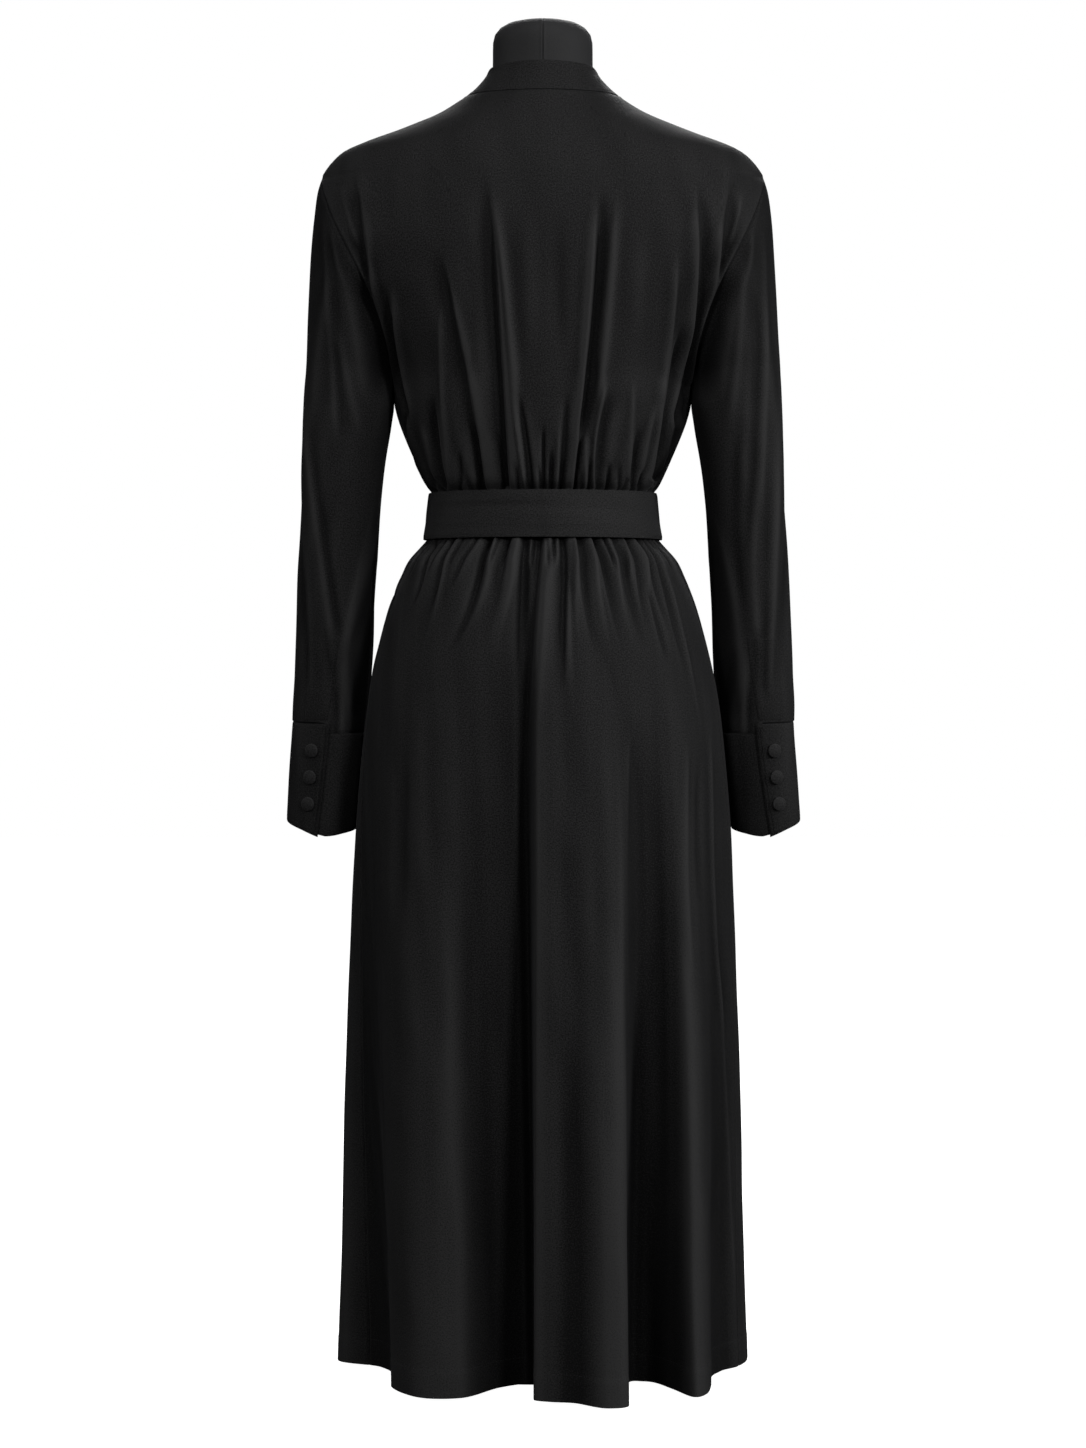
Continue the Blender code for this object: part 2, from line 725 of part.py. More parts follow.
def add_panel(name, outer, normals, cloth, material, parent, round_it=False):
    """A wall on a grid of points; round_it joins the last column to the first."""
    rows, cols = outer.shape[:2]
    ids = np.arange(rows * cols).reshape(rows, cols).tolist()
    if round_it:
        ids = [row + row[:1] for row in ids]
    points = outer.reshape(-1, 3)
    inside = points - cloth * normals.reshape(-1, 3)
    return add_wall(name, points, inside, ids, material, parent)


def end_share(z, face):
    """Share at which a bodice panel stops, half a seam gap before its end."""
    here = bodice_point(np.ones_like(z), z, face, 0.0)
    near = bodice_point(np.full_like(z, 0.99), z, face, 0.0)
    return 1 - 0.01 * 0.5 * SEAM_GAP / np.linalg.norm(here - near, axis=-1)


def bodice_normals(share, z, face, step, depth_share=1.0):
    """Outward unit normals of the bodice."""

    def surface(u, v):
        return bodice_point(u, v, face, depth_share)

    return -face * surface_normals(surface, share, z, step)


def end_vectors(z, face):
    """Mitred normals down the right-hand end of a bodice panel: shoulder line, armhole, side seam."""
    slope = BODICE_AT.side(z + SLOPE_STEP) - BODICE_AT.side(z - SLOPE_STEP)
    plain = unit(np.stack([2 * SLOPE_STEP + 0 * slope, 0 * slope, -slope], axis=-1))
    body = bodice_normals(np.ones_like(z), z, face, 0.05)
    arm = sleeve_normals(np.full_like(z, 0.0 if face < 0 else 1.0), z, 0.05)
    open_here = ((z > UNDERARM) & (z < SHOULDER_TIP))[..., None]
    vectors = np.where(open_here, mitre(body, arm), plain)
    tip = (z == SHOULDER_TIP)[..., None]
    return np.where(tip, mitre(plain, np.array([1.0, 0.0, 0.0])), vectors)


# ---- materials ----
def make_material(name, colour, roughness, metallic=0.0):
    """A Principled material."""
    material = bpy.data.materials.new(name)
    material.use_nodes = True
    shader = material.node_tree.nodes["Principled BSDF"]
    shader.inputs["Base Color"].default_value = (*colour, 1.0)
    shader.inputs["Roughness"].default_value = roughness
    shader.inputs["Metallic"].default_value = metallic
    return material


# ---- the dress ----
def make_bodice_back(material, parent):
    """The back panel, from the waist to the neckband, between side seams, armholes and shoulders."""
    keys = [*BODICE_GATHERS.share, *halves(BODICE_GATHERS.share)]
    places = column_places(keys, -1, 1, 0.035, 0.1)
    z = np.array([*BODICE_ROWS, NECK_SEAM], float)[:, None] + np.zeros(len(places))
    z[-1] += NECK_SEAM_RISE * places**2 - SEAM_GAP
    share = places * end_share(z, -1)
    outer = bodice_point(share, z, -1)
    normals = bodice_normals(share, z, -1, spacing(share))
    normals[:, -1] = end_vectors(z[:, -1], -1)
    normals[:, 0] = normals[:, -1] * MIRROR
    normals[0, :, 2] = 0
    return add_panel("bodice_back", outer, normals, CLOTH, material, parent)


def under_share(x, z):
    """0 to 1: how far the lower front lies under the upper one at x, z."""
    edge = EDGE_X_AT(z)
    return ramp(x, edge - UNDER_FROM, edge - UNDER_TO)


def front_layer(share, z, lower, step):
    """Point and outward normal of the front; the lower layer is flatter and lies further in."""
    rough = bodice_point(share, z, 1, 0.0)
    hidden = under_share(rough[..., 0], z) if lower else 0.0 * rough[..., 0]
    relief = 1 - UNDER_CALM * hidden
    normal = bodice_normals(share, z, 1, step, relief)
    near_belt = 1 - ramp(z, BELT_TOP + 10, BELT_TOP + 70)
    sink = hidden * (BAND_CLOTH + FRONT_GAP + GATHER_SINK * near_belt)
    level = unit(bodice_normals(share, z, 1, 0.05, 0.0) * LEVEL)
    return bodice_point(share, z, 1, relief) - sink[..., None] * level, normal


def neck_corner_share():
    """Share of the front at which its neck seam turns down."""
    return float(share_at(NECKBAND_AT.seam_x(NECK_CORNER) + 0.5 * SEAM_GAP, NECK_CORNER, 1))


def neck_top_row(part):
    """Share and height along the top of the right front: part is 0 at the shoulder, 1 at the corner."""
    top = NECK_SEAM + NECK_SEAM_RISE
    share = 1 + (neck_corner_share() - 1) * part
    return share, top - (top - NECK_CORNER) * part**2


def make_bodice_front(name, side, material, parent):
    """A wrap front; side is 1 for the right front, which lies on top, and -1 for the left."""
    waist_stop = float(share_at(side * NECKBAND_AT.seam_x(WAIST), WAIST, 1)) * side
    keys = (1 + side * BODICE_GATHERS.share) / (1 - waist_stop)
    part = column_places([*keys, *halves(keys)], 0, 1, 0.035, 0.1)
    rows = np.array(BODICE_ROWS, float)[:, None]
    seam_x = side * (NECKBAND_AT.seam_x(rows) + 0.5 * SEAM_GAP)
    start = side * end_share(rows, 1)
    share = start + (share_at(seam_x, rows, 1) - start) * part
    top_share, top_z = neck_top_row(part)
    top_share[0] = end_share(top_z[:1], 1)[0]
    share = np.vstack([share, side * top_share])
    z = np.vstack([rows + 0 * part, top_z - SEAM_GAP])
    outer, normals = front_layer(share, z, side < 0, spacing(share))
    normals[:, -1] = front_layer(share, z, side < 0, SEAM_STEP)[1][:, -1]
    normals[:, 0] = end_vectors(z[:, 0], 1) * (MIRROR if side < 0 else 1)
    normals[0, :, 2] = 0
    return add_panel(name, outer, normals, CLOTH, material, parent)


def neckband_stretch(side):
    """Shares and heights of one front stretch of the neckband: rows across, columns down."""
    part = np.linspace(0, 1, 5)[:-1]
    seam_share, seam_z = neck_top_row(part)
    corner = share_at(NECKBAND_AT.edge_x(NECK_CORNER), NECKBAND_AT.edge_z(NECK_CORNER), 1)
    edge_share = 1 + (corner - 1) * part
    down = np.array([NECK_CORNER, *BODICE_ROWS[::-1]])
    seam_share = np.append(seam_share, share_at(NECKBAND_AT.seam_x(down), down, 1))
    seam_z = np.append(seam_z, down)
    edge_z = NECKBAND_AT.edge_z(seam_z)
    free = share_at(side * NECKBAND_AT.edge_x(down), edge_z[len(part) :], 1) * side
    edge_share = np.append(edge_share, free)
    across = np.linspace(0.5 * SEAM_GAP / BAND_WIDTH, 1, 3)[:, None]
    share = side * (seam_share + (edge_share - seam_share) * across)
    return share, seam_z + (edge_z - seam_z) * across


def make_neckband(material, parent):
    """One band from the left waist up round the back of the neck and down to the right waist."""
    stretches = []
    for side in (-1, 1):
        share, z = neckband_stretch(side)
        stretches.append(front_layer(share, z, side < 0, SEAM_STEP))
    across = np.linspace(0.5 * SEAM_GAP / BAND_WIDTH, 1, 3)[:, None]
    share = np.linspace(-1, 1, 15)[1:-1] + 0 * across
    low = NECK_SEAM + NECK_SEAM_RISE * share**2
    z = low + (NECK_EDGE - NECK_EDGE_DROP * share**2 - low) * across
    back = bodice_point(share, z, -1), bodice_normals(share, z, -1, SEAM_STEP)
    (left, left_normals), (right, right_normals) = stretches
    outer = np.concatenate([left[:, ::-1], back[0], right], axis=1)
    normals = np.concatenate([left_normals[:, ::-1], back[1], right_normals], axis=1)
    for column in (0, -1):
        normals[:, column, 2] = 0
    outer = outer + BAND_LIFT * normals
    return add_panel("neckband", outer, normals, BAND_CLOTH, material, parent)


def skirt_columns(start, end):
    """Angles of a skirt's columns: its folds first, then its gathers."""
    gathers = [*SKIRT_GATHERS.hang, *(FRONT_TURN - SKIRT_GATHERS.hang)]
    keys = [*FOLDS.hang, *gathers, *halves(gathers)]
    return column_places(keys, start, end, SKIRT_CLOSEST, SKIRT_WIDEST)


def make_skirt_panel(name, angles, lower, material, parent):
    """A skirt panel on the given columns; the lower front panel sinks under the upper one."""
    z = np.array(SKIRT_ROWS, float)[:, None] + np.zeros(len(angles))
    angle = angles + 0 * z
    step = spacing(angle)
    hidden = 1 - ramp(angle, OVERLAP_EDGE + 1, OVERLAP_EDGE + 14) if lower else 0 * angle

    def surface(u, v):
        return skirt_point(u, v, 1 - UNDER_CALM * hidden)

    step[:, [0, -1]] = SKIRT_CLOSEST
    normals = surface_normals(surface, angle, z, step)
    normals[-1, :, 2] = 0
    normals[0, :, 2] = 0
    near_belt = ramp(z, BELT_BOTTOM - 150, BELT_BOTTOM - 20)
    sink = hidden * (CLOTH + LAYER_GAP + GATHER_SINK * near_belt)
    outer = surface(angle, z) - sink[..., None] * unit(normals * LEVEL)
    for column, other in ((0, 1), (-1, -2)):
        way = unit(outer[:, other] - outer[:, column])
        outer[:, column] += 0.5 * SEAM_GAP * way
    return add_panel(name, outer, normals, CLOTH, material, parent)


def sleeve_relief(angle, z, radius):
    """How far the soft folds move a sleeve out."""
    total = 0.0
    for low_angle, top_angle, low, top, width, rise in zip(*SLEEVE_FOLDS):
        t = np.clip((z - low) / (top - low), 0, 1)
        line = low_angle + (top_angle - low_angle) * t
        away = (angle - line + 180) % 360 - 180
        swell = np.sin(np.pi * t) ** 0.8
        total = total + rise * swell * gather_dip(np.radians(away) * radius, width)
    return total


def sleeve_point(turn, z):
    """Point of the right sleeve: turn runs from 0 at the underarm round the back and front to 1."""
    turn, z = np.broadcast_arrays(np.asarray(turn, float), np.asarray(z, float))
    above = z > UNDERARM
    meets = np.where(above, np.radians(CAP_AT.meets(z)), 0.0)
    outer = np.where(above, CAP_AT.outer(z), SLEEVE_AT.outer(z))
    seam_x = BODICE_AT.side(z) + ARMHOLE_CLEAR
    back, front = BODICE_AT.seam_back(z), BODICE_AT.seam_front(z)
    half_width = np.where(
        above, (outer - seam_x) / (1 + np.cos(meets)), 0.5 * (outer - SLEEVE_AT.inner(z))
    )
    opened = ramp(z, UNDERARM, UNDERARM + ARMHOLE_START)
    reach = 0.5 * (back + front) / np.maximum(np.sin(meets), 1e-6)
    closed_depth = (1 - opened) * SLEEVE.half_depth[-1]
    half_depth = np.where(above, opened * reach + closed_depth, SLEEVE_AT.half_depth(z))
    armhole_y = 0.5 * (front - back) + (1 - opened) * SLEEVE.centre[-1]
    centre_y = np.where(above, armhole_y, SLEEVE_AT.centre(z))
    angle = meets + turn * (2 * np.pi - 2 * meets)
    radius = 0.5 * (half_width + half_depth)
    out = sleeve_relief(np.degrees(angle), z, radius)
    edge = ramp(np.minimum(turn, 1 - turn), 0, 0.08)
    out = np.where(above, out * edge, out)
    x = outer - half_width - (half_width + out) * np.cos(angle)
    y = centre_y - (half_depth + out) * np.sin(angle)
    return np.stack([x, y, z], axis=-1)


def sleeve_normals(turn, z, step):
    """Outward unit normals of the right sleeve."""
    return surface_normals(sleeve_point, turn, z, step)


def crown_row(turn):
    """The sleeve's last row, over the tip of the shoulder just outside the bodice's edge."""
    row = sleeve_point(turn, np.full_like(turn, CROWN_START))
    back = row[:, 1] < 0
    reach = np.where(back, BODICE_AT.seam_back(CROWN_START), BODICE_AT.seam_front(CROWN_START))
    lift = (1 - np.clip(np.abs(row[:, 1]) / reach, 0, 1))[:, None]
    start_x, tip_x = BODICE_AT.side(CROWN_START), BODICE_AT.side(SHOULDER_TIP)
    row[:, 0] = start_x + CROWN_CLEAR + (tip_x - start_x) * lift[:, 0]
    row[:, 2] += (SHOULDER_TIP - CROWN_START - CROWN_LOW) * lift[:, 0]
    low_back, low_front = (end_vectors(np.array([CROWN_START]), face)[0] for face in (-1, 1))
    tip = end_vectors(np.array([SHOULDER_TIP]), -1)[0]
    return row, np.where(back[:, None], low_back, low_front) * (1 - lift) + tip * lift


def sleeve_grid():
    """Points, normals and vertex numbers of the right sleeve, rows from the cuff to the crown."""
    edges = np.linspace(0, 1, SLEEVE_COLUMNS + 1)
    bottom = SLEEVE_EDGE_AT.height(360 * edges)
    rows, normals, ids = [], [], []
    for number, height in enumerate((bottom, *SLEEVE_ROWS)):
        closed = number == 0 or height <= UNDERARM
        turn = edges[:-1] if closed else edges
        z = np.broadcast_to(height, edges.shape)[: len(turn)].astype(float)
        base_z = np.minimum(z, UNDERARM - NORMAL_RISE) if closed else z
        normal = sleeve_normals(turn, base_z, 1 / SLEEVE_COLUMNS)
        if not closed:
            normal[0] = end_vectors(z[:1], -1)[0]
            normal[-1] = end_vectors(z[:1], 1)[0]
        used = sum(len(row) for row in rows)
        ids.append(list(range(used, used + len(turn))) + [used] * closed)
        rows.append(sleeve_point(turn, z))
        normals.append(normal)
    crown, crown_normals = crown_row(edges)
    used = sum(len(row) for row in rows)
    ids.append(list(range(used, used + len(edges))))
    return np.vstack([*rows, crown]), np.vstack([*normals, crown_normals]), ids


def make_sleeve(name, side, material, parent):
    """A sleeve: a tube up to the underarm, and above it a cap that follows the armhole."""
    outer, normals, ids = sleeve_grid()
    flip = MIRROR if side < 0 else 1
    inner = outer - CLOTH * normals
    return add_wall(name, outer * flip, inner * flip, ids, material, parent)


def cuff_point(turn, down):
    """Point of the right cuff: turn in degrees from its hidden end, down from 0 (top) to 1 (bottom)."""
    z = CUFF_AT.top(turn) + (CUFF_AT.bottom(turn) - CUFF_AT.top(turn)) * down
    t = (CUFF_TOP - z) / (CUFF_TOP - CUFF_BOTTOM)
    outer = SLEEVE_AT.outer(CUFF_TOP) + (CUFF_OUTER - SLEEVE_AT.outer(CUFF_TOP)) * t
    inner = SLEEVE_AT.inner(CUFF_TOP) + (CUFF_INNER - SLEEVE_AT.inner(CUFF_TOP)) * t
    deep = SLEEVE_AT.half_depth(CUFF_TOP) + (CUFF_HALF_DEPTH - SLEEVE_AT.half_depth(CUFF_TOP)) * t
    centre = SLEEVE_AT.centre(CUFF_TOP) + (CUFF_CENTRE - SLEEVE_AT.centre(CUFF_TOP)) * t
    angle = np.radians(CUFF_START - turn)
    lift = CUFF_LIFT * ramp(turn, *CUFF_LAP)
    x = 0.5 * (outer + inner) - (0.5 * (outer - inner) + lift) * np.cos(angle)
    y = centre - (deep + lift) * np.sin(angle)
    return np.stack([x, y, z], axis=-1)


def cuff_normals(turn, down):
    """Outward unit normals of the right cuff."""
    return surface_normals(cuff_point, turn, down, 7.0, 0.05)


def make_cuff(name, side, material, parent):
    """A cuff wound once round the wrist, its outer end on top at the back."""
    down = np.linspace(0, 1, 3)[:, None] + np.zeros((1, 27))
    turn = np.linspace(0, CUFF.turn[-1], 27)[None, :] + 0 * down
    flip = MIRROR if side < 0 else 1
    outer, normals = cuff_point(turn, down), cuff_normals(turn, down)
    return add_panel(name, outer * flip, normals * flip, BAND_CLOTH, material, parent)


def make_placket(name, side, material, parent):
    """The strip that finishes the sleeve's slit, on the sleeve just above the cuff."""
    first, last, low, high = PLACKET
    z = np.linspace(low, high, 4)[:, None] + np.zeros((1, 6))
    turn = np.linspace(first, last, 6)[None, :] / 360 + 0 * z
    normals = sleeve_normals(turn, z, 1 / SLEEVE_COLUMNS)
    outer = sleeve_point(turn, z) + (PLACKET_LIFT + PLACKET_CLOTH) * normals
    flip = MIRROR if side < 0 else 1
    return add_panel(name, outer * flip, normals * flip, PLACKET_CLOTH, material, parent)


def button_seats():
    """Centre and outward direction of each button on the right cuff."""
    top, bottom = CUFF_AT.top(BUTTON_TURN), CUFF_AT.bottom(BUTTON_TURN)
    for number in range(BUTTONS_PER_CUFF):
        down = float((top - BUTTON_TOP + BUTTON_PITCH * number) / (top - bottom))
        yield cuff_point(BUTTON_TURN, down), cuff_normals(BUTTON_TURN, down)


def make_button(name, seat, normal, material, parent):
    """A covered button: a turned dome on a narrower shank."""
    radius = BUTTON_DIAMETER / 2
    profile = [
        (0.0, 0.0),
        (0.5 * radius, 0.0),
        (0.96 * radius, 1.1),
        (radius, 2.1),
        (0.74 * radius, 3.9),
        (0.0, BUTTON_HEIGHT),
    ]
    bm = bmesh.new()
    verts = [bm.verts.new(Vector((r, 0, h)) * MM) for r, h in profile]
    edges = [bm.edges.new(pair) for pair in zip(verts[:-1], verts[1:])]
    bmesh.ops.spin(
        bm, geom=verts + edges, cent=(0, 0, 0), axis=(0, 0, 1), angle=2 * math.pi, steps=12
    )
    bmesh.ops.remove_doubles(bm, verts=bm.verts, dist=1e-5)
    bmesh.ops.recalc_face_normals(bm, faces=bm.faces)
    mesh = bpy.data.meshes.new(name)
    bm.to_mesh(mesh)
    bm.free()
    mesh.shade_smooth()
    mesh.materials.append(material)
    built = bpy.data.objects.new(name, mesh)
    bpy.context.scene.collection.objects.link(built)
    built.parent = parent
    built.location = Vector(seat + BUTTON_CLEAR * normal) * MM
    built.rotation_euler = Vector(normal).to_track_quat("Z", "Y").to_euler()
    return built


def belt_point(angle, z):
    """Point of the belt's outer face."""
    radians = np.radians(angle)
    depth = np.where(np.cos(radians) > 0, BELT_AT.back(z), BELT_AT.front(z))
    return np.stack([BELT_AT.side(z) * np.sin(radians), -depth * np.cos(radians), z], axis=-1)


def make_belt(material, parent):
    """The belt round the waist."""
    z = np.array([BELT_BOTTOM, BELT_TOP])[:, None] + np.zeros(BELT_COLUMNS)
    angle = np.linspace(0, 360, BELT_COLUMNS, endpoint=False) + 0 * z
    normals = surface_normals(belt_point, angle, z, 2.0)
    return add_panel("belt", belt_point(angle, z), normals, BELT_CLOTH, material, parent, True)


def make_knot(material, parent):
    """The knot, a soft lump seated on the belt over the edge of the wrap."""
    bm = bmesh.new()
    bmesh.ops.create_uvsphere(bm, u_segments=14, v_segments=10, radius=1.0)
    half_width, half_depth, half_height = KNOT_SIZE
    back = -KNOT_BACK * half_depth * MM
    for vert in bm.verts:
        round_off = sum(abs(c) ** KNOT_SQUARE for c in vert.co) ** (-1 / KNOT_SQUARE)
        x, y, z = vert.co * round_off * MM
        vert.co = (x * half_width, max(y * half_depth, back), z * half_height)
    mesh = bpy.data.meshes.new("belt_knot")
    bmesh.ops.recalc_face_normals(bm, faces=bm.faces)
    bm.to_mesh(mesh)
    bm.free()
    mesh.shade_smooth()
    mesh.materials.append(material)
    built = bpy.data.objects.new("belt_knot", mesh)
    bpy.context.scene.collection.objects.link(built)
    built.parent = parent
    angle = np.array(KNOT_ANGLE)
    height = np.array(0.5 * (BELT_TOP + BELT_BOTTOM))
    normal = surface_normals(belt_point, angle, height, 0.5)
    flat = Vector((normal[0], normal[1], 0)).normalized()
    seat = Vector(belt_point(angle, height)) + flat * (KNOT_BACK * half_depth + KNOT_CLEAR)
    built.location = seat * MM
    built.rotation_euler = (0, 0, math.atan2(-flat.x, flat.y))
    return built


def hang_out(angle, z, centre, along, outward, lean, width):
    """How far out a hanging strip lies at each height, on the skirt and never swinging back in."""
    probe = np.linspace(angle - END_PROBE, angle + END_PROBE, 121)
    reach = []
    for height in z:
        ring = skirt_point(probe, np.full_like(probe, height), 0.0) - centre
        sideways = ring @ along - lean * (BELT_BOTTOM - height)
        reach.append(np.max((ring @ outward)[np.abs(sideways) < 0.5 * width + END_MARGIN]))
    return np.maximum.accumulate(np.array(reach)[::-1])[::-1]


def make_belt_end(name, angle, lean, length, width, lift, material, parent):
    """A free end of the belt: it leaves the knot downwards and hangs on the skirt's front."""
    z = np.linspace(BELT_BOTTOM - KNOT_DROP, BELT_BOTTOM - length, END_ROWS)[::-1]
    centre = skirt_point(angle, BELT_BOTTOM - END_SET, 0.0)
    side, front = SKIRT_AT.side(BELT_BOTTOM - END_SET), SKIRT_AT.front(BELT_BOTTOM - END_SET)
    turned = math.radians(angle)
    outward = unit(np.array([math.sin(turned) / side, -math.cos(turned) / front, 0.0]))
    along = np.array([outward[1], -outward[0], 0.0])
    out = hang_out(angle, z, centre, along, outward, lean, width) + END_CLEAR + lift + BELT_CLOTH
    drop = (BELT_BOTTOM - z)[:, None]
    opened = END_PINCH + (1 - END_PINCH) * ramp(drop, KNOT_DROP, END_OPEN)
    across = np.linspace(-0.5, 0.5, 4) * width * opened + lean * drop
    outer = centre + across[..., None] * along + (out[:, None] + 0 * across)[..., None] * outward
    outer[..., 2] = z[:, None]
    normals = np.zeros_like(outer) + outward
    return add_panel(name, outer, normals, BELT_CLOTH, material, parent)


# ---- the form ----
def form_rows():
    """Height, half width, back and front depth of the form's sections, from the hips up."""
    rows = list(zip(*FORM_BODY))
    for z in FORM_SHOULDER:
        depths = BODICE_AT.back(z) - FORM_DROP, BODICE_AT.front(z) - FORM_DROP
        rows.append((z - FORM_DROP, BODICE_AT.side(z) - 1.0, *depths))
    return rows + list(zip(*FORM_NECK))


def make_form_torso(material, parent):
    """The form's body and neck, closed at the bottom and domed at the top."""
    angle = np.radians(np.linspace(0, 360, FORM_COLUMNS, endpoint=False))
    rings = []
    for z, side, back, front in form_rows():
        depth = np.where(np.cos(angle) > 0, back, front)
        rings.append(np.stack([side * np.sin(angle), -depth * np.cos(angle), z + 0 * angle], axis=-1))
    ids = np.arange(len(rings) * FORM_COLUMNS).reshape(len(rings), FORM_COLUMNS).tolist()
    faces = grid_faces([row + row[:1] for row in ids])
    faces += [tuple(reversed(ids[0])), tuple(ids[-1])]
    return add_object("form_torso", np.vstack(rings), faces, material, parent)


def make_turned(name, profile, sides, material, parent, squash=(1.0, 1.0)):
    """A piece turned about Z from (radius, height) points, and flattened across if asked."""
    angle = np.radians(np.linspace(0, 360, sides + 1)[:-1])
    rings = [
        np.stack([r * squash[0] * np.cos(angle), r * squash[1] * np.sin(angle), h + 0 * angle], axis=-1)
        for r, h in profile
    ]
    ids = [list(range(i * sides, (i + 1) * sides)) for i in range(len(rings))]
    faces = grid_faces([row + row[:1] for row in ids])
    faces += [tuple(reversed(ids[0])), tuple(ids[-1])]
    return add_object(name, np.vstack(rings), faces, material, parent)


def make_stand(steel, parent):
    """The pole under the torso, and the oval base plate with its hub, hidden by the skirt."""
    torso_bottom = FORM_BODY.height[0]
    hub = BASE_THICKNESS + HUB_HEIGHT
    make_turned(
        "form_pole",
        [(POLE_RADIUS, hub + SEAM_GAP), (POLE_RADIUS, torso_bottom - SEAM_GAP)],
        24,
        steel,
        parent,
    )
    shape = (1.0, BASE_HALF_DEPTH / BASE_HALF_WIDTH)
    plate = make_turned(
        "form_base",
        [
            (BASE_HALF_WIDTH, 0),
            (BASE_HALF_WIDTH, BASE_THICKNESS - BASE_RIM),
            (BASE_HALF_WIDTH - BASE_RIM, BASE_THICKNESS),
        ],
        48,
        steel,
        parent,
        shape,
    )
    outline = [(HUB_RADII[0], BASE_THICKNESS - HUB_SINK), (HUB_RADII[1], hub)]
    boss = make_turned("cutter_hub", outline, 24, steel, parent)
    boss.hide_render = True
    boss.display_type = "WIRE"
    join = plate.modifiers.new("hub", "BOOLEAN")
    join.operation = "UNION"
    join.object = boss


def main():
    """Builds every piece."""
    for old in list(bpy.data.objects):
        bpy.data.objects.remove(old)
    crepe = make_material("black_crepe", (0.012, 0.012, 0.013), 0.62)
    cover = make_material("black_jersey_cover", (0.014, 0.014, 0.015), 0.75)
    steel = make_material("black_steel", (0.02, 0.02, 0.021), 0.4, 0.9)

    dress = bpy.data.objects.new("dress", None)
    form = bpy.data.objects.new("form", None)
    for empty in (dress, form):
        bpy.context.scene.collection.objects.link(empty)

    make_bodice_back(crepe, dress)
    make_bodice_front("bodice_front_right", 1, crepe, dress)
    make_bodice_front("bodice_front_left", -1, crepe, dress)
    make_neckband(crepe, dress)
    behind = skirt_columns(-SKIRT_SEAM, SKIRT_SEAM)
    before = skirt_columns(SKIRT_SEAM, 360 - SKIRT_SEAM)
    upper = np.append(before[before < OVERLAP_EDGE - 1], OVERLAP_EDGE)
    lower = np.append(UNDERLAP_EDGE, before[before > UNDERLAP_EDGE + 1])
    make_skirt_panel("skirt_back", behind, False, crepe, dress)
    make_skirt_panel("skirt_front_right", upper, False, crepe, dress)
    make_skirt_panel("skirt_front_left", lower, True, crepe, dress)
    for word, side in (("right", 1), ("left", -1)):
        make_sleeve(f"sleeve_{word}", side, crepe, dress)
        make_cuff(f"cuff_{word}", side, crepe, dress)
        make_placket(f"sleeve_placket_{word}", side, crepe, dress)
        flip = MIRROR if side < 0 else 1
        for number, (seat, normal) in enumerate(button_seats(), 1):
            make_button(f"button_{word}_{number}", seat * flip, normal * flip, crepe, dress)
    make_belt(crepe, dress)
    make_knot(crepe, dress)
    for word, row in zip(("long", "short"), zip(*BELT_ENDS)):
        make_belt_end(f"belt_end_{word}", *row, crepe, dress)
    make_form_torso(cover, form)
    make_stand(steel, form)


main()
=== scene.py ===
"""A long-sleeved wrap dress on its dress form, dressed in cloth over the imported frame.

The dress is built as thin shells of crepe: every panel is a dense grid on the pattern's own
curves, with gathers, long folds and creases laid on it one by one. Lengths are in millimetres
until a mesh is made, +Z is up, the wrapped front faces +Y and the wearer's right is at +X.
"""

from __future__ import annotations

import json
import logging
import math
import sys
from collections import namedtuple
from collections.abc import Callable, Iterable, Sequence
from dataclasses import dataclass, field
from enum import Enum

import bpy
import numpy as np
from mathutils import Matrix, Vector

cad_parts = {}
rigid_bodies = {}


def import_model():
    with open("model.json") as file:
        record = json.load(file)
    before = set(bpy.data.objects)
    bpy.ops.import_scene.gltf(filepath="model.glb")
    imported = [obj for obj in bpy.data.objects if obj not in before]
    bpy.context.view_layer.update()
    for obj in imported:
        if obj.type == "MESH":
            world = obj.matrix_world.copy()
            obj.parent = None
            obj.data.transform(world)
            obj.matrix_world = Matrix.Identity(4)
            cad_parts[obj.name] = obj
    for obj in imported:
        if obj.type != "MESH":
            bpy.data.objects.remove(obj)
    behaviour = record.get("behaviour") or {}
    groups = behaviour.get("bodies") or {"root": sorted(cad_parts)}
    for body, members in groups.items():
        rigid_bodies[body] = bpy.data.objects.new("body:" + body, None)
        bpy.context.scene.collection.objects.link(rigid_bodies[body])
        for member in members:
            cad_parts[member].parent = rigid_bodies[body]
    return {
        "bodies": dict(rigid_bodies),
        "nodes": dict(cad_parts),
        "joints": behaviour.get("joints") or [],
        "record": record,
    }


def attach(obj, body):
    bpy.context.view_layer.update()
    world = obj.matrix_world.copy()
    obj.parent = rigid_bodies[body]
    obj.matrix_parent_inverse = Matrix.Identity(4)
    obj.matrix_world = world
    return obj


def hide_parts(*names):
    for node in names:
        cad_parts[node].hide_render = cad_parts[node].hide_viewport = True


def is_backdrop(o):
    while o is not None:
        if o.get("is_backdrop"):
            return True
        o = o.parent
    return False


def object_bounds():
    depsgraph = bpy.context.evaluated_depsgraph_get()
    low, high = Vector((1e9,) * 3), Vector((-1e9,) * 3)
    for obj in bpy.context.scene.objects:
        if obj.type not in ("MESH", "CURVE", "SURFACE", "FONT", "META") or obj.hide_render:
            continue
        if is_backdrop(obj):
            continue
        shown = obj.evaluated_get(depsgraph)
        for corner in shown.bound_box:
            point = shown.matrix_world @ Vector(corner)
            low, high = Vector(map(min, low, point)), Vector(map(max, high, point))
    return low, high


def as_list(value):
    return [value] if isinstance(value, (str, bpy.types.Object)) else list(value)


log = logging.getLogger("wrap_dress")
Array = np.ndarray
Piece = bpy.types.Object
Material = bpy.types.Material

MM = 0.001
BODY = "root"

